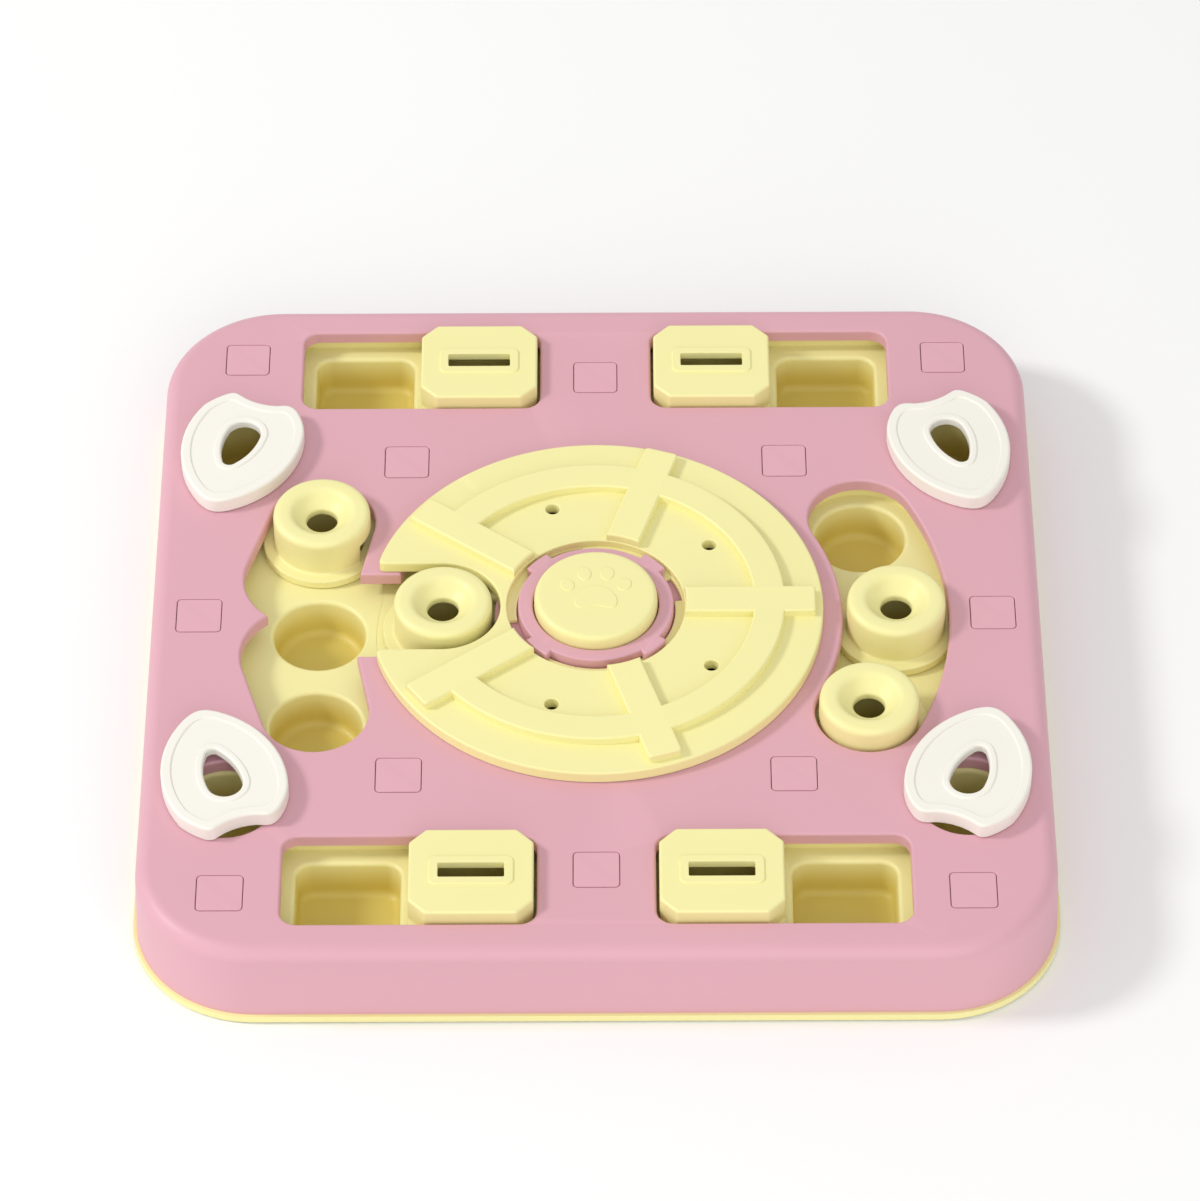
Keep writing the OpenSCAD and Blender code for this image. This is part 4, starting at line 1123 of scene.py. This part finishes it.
class PUZZLE_OT_paw_button(Operator):
    """Models the button with the low paw print on its top"""

    bl_idname = "puzzle.paw_button"
    bl_label = "Paw button"

    def execute(self, context):
        bottom, paw_top = low("paw_button"), high("paw_button")
        top = paw_top - mm("paw_rise")
        skin, inner_r, body_r, foot_r, foot_top = top - 2.4, 16.8, 18.8, 20.6, bottom + 2
        section = softened([
            (0, skin, 0), (inner_r, skin, 1.5), (inner_r, bottom, 0.4), (foot_r, bottom, 0.4),
            (foot_r, foot_top, 0.4), (body_r, foot_top, 0.3), (body_r, top, 2.7),
            (15.5, top, 0), (0, top, 0),
        ])
        # A number of steps that puts no edge of the top under the print's middle.
        button = turned("button", section, steps=118)
        side = [(4.3, 2.2, 2.4), (6.9, -2.2, 2.6), (6.0, -6.1, 2.4), (2.6, -5.5, 2.0)]
        heel = softened([(0, 3.9, 2.4), *side, (0, -4.6, 1.6),
                         *((-x, y, r) for x, y, r in side[::-1])])[::-1]
        pads = [slab("heel", heel, top - 0.6, paw_top)]
        around = [2 * pi * i / 36 for i in range(36)]
        toe = [(2.1 * cos(t), 2.75 * sin(t)) for t in around]
        for x, y, lean in ((-8.7, 3.9, 24), (-3.5, 8.5, 8), (3.5, 8.5, -8), (8.7, 3.9, -24)):
            pads.append(slab("toe", swung(toe, lean, (x, y)), top - 0.6, paw_top))
        for pad in pads:
            soften(pad, mm("paw_rise") * 0.96, level(paw_top), 4)
        combine(button, joined("pads", pads), "UNION")
        tidy(button)
        done(button, "squeak_button", "button", "yellow_plastic", ("paw_button",))
        return {"FINISHED"}


class PUZZLE_OT_kept_parts(Operator):
    """Gives the base, feet, screws, pins and squeaker their finishes"""

    bl_idname = "puzzle.kept_parts"
    bl_label = "Base, feet and hidden parts"

    def execute(self, context):
        kept = {"base_shell": "yellow_plastic", "screw_posts": "yellow_plastic",
                "hub_posts": "yellow_plastic", "squeaker_bellows": "grey_rubber",
                "squeaker_reed": "white_plastic", "cover_screws": "steel", "hub_screws": "steel"}
        kept.update({"petal_pin_" + corner: "steel" for corner in CORNERS})
        kept.update({"foot_" + corner: "rubber_feet" for corner in CORNERS})
        for node, slot in kept.items():
            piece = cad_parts[node]
            for index in range(max(1, len(piece.material_slots))):
                if not piece.material_slots:
                    piece.data.materials.append(finish_for(slot))
                piece.material_slots[index].material = finish_for(slot)
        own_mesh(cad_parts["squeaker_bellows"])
        return {"FINISHED"}


class PUZZLE_OT_stage(Operator):
    """Sets the floor, the soft lamps, the white surroundings and the camera"""

    bl_idname = "puzzle.stage"
    bl_label = "Stage"

    def execute(self, context):
        clear()
        bpy.ops.mesh.primitive_plane_add(size=12, location=(0, 2.0, 0))
        floor = context.object
        floor.name = "studio_floor"
        floor.data.materials.append(studio_floor("pale floor", (0.93, 0.93, 0.92)))
        self.lamp("key_lamp", place=(-1.75, 0.0, 1.45), size=0.45, power=22.0)
        self.lamp("fill_lamp", place=(0.5, -2.3, 1.35), size=2.6, power=25.0)
        room = Finish(bpy.data.worlds.new("white room"), "World Output")
        white, soft, full = (1.0, 1.0, 1.0, 1.0), 0.66, 1.0
        camera_ray, glossy_ray, clear_ray = (
            room.add("LightPath", output="Is %s Ray" % kind)
            for kind in ("Camera", "Glossy", "Transmission"))
        context.scene.world = room.set(Surface=room.add("MixShader", values={
            0: camera_ray + glossy_ray + clear_ray,
            1: room.add("Background", values={"Color": white, "Strength": soft}),
            2: room.add("Background", values={"Color": white, "Strength": full}),
        }))
        self.camera(context)
        context.scene.view_settings.view_transform = "Standard"
        return {"FINISHED"}

    def lamp(self, name, place, size, power):
        """Adds a round lamp that points at the board's middle."""
        clear()
        bpy.ops.object.light_add(type="AREA", location=place)
        lamp = bpy.context.object
        lamp.name = name
        lamp.data.shape = "DISK"
        lamp.data.size = size
        lamp.data.energy = power
        lamp.rotation_euler = (-Vector(place)).to_track_quat("-Z", "Y").to_euler()

    def camera(self, context):
        """The viewpoint read from the photograph: a long lens from the front, well above."""
        clear()
        bpy.ops.object.camera_add()
        camera = context.object
        camera.name = "front_camera"
        tilt, turn, roll = 0.808946, 0.0017469, -0.0053553
        sensor, focal_pixels, photo_pixels = 36, 6066.228, 1200
        forward = Vector((0, cos(tilt), -sin(tilt)))
        up = Vector((0, sin(tilt), cos(tilt)))
        spin = Matrix.Rotation(turn, 3, "Z")
        forward, up, right = spin @ forward, spin @ up, spin @ Vector((1, 0, 0))
        right, up = cos(roll) * right + sin(roll) * up, cos(roll) * up - sin(roll) * right
        turned_to = Matrix((right, up, -forward)).transposed().to_4x4()
        camera.matrix_world = Matrix.Translation((0.003498, -1.2745, 1.370822)) @ turned_to
        camera.data.sensor_fit = "HORIZONTAL"
        camera.data.sensor_width = sensor
        camera.data.lens = sensor * focal_pixels / photo_pixels
        camera.data.clip_end = 50
        context.scene.camera = camera


PIECE_STEPS = (
    PUZZLE_OT_top_cover, PUZZLE_OT_square_caps, PUZZLE_OT_box_pans, PUZZLE_OT_round_pans,
    PUZZLE_OT_corner_cups, PUZZLE_OT_sliders, PUZZLE_OT_pegs, PUZZLE_OT_petals,
    PUZZLE_OT_turntable, PUZZLE_OT_hub_collar, PUZZLE_OT_paw_button, PUZZLE_OT_kept_parts,
    PUZZLE_OT_stage,
)


class PUZZLE_PT_board(Panel):
    """Lists the pieces, sizes and colours of the board"""

    bl_label = "Puzzle board"
    bl_idname = "PUZZLE_PT_board"
    bl_space_type = "VIEW_3D"
    bl_region_type = "UI"
    bl_category = "Puzzle board"

    def draw(self, context):
        for step in PIECE_STEPS:
            self.layout.operator(step.bl_idname)
        for group in (context.scene.puzzle_sizes, context.scene.puzzle_colours):
            box = self.layout.box()
            for name in group.__annotations__:
                box.prop(group, name)


CLASSES = (PuzzleSizes, PuzzleColours, *PIECE_STEPS, PUZZLE_PT_board)


def register():
    """Adds the tools, the sizes and the colours to Blender."""
    for each in CLASSES:
        bpy.utils.register_class(each)
    bpy.types.Scene.puzzle_sizes = PointerProperty(type=PuzzleSizes)
    bpy.types.Scene.puzzle_colours = PointerProperty(type=PuzzleColours)


def unregister():
    """Takes them out again."""
    del bpy.types.Scene.puzzle_colours
    del bpy.types.Scene.puzzle_sizes
    for each in reversed(CLASSES):
        bpy.utils.unregister_class(each)


def main():
    """Builds every piece and the stage."""
    register()
    for step in PIECE_STEPS:
        group, name = step.bl_idname.split(".")
        getattr(getattr(bpy.ops, group), name)()
    bpy.context.view_layer.update()


if __name__ == "__main__":
    main()
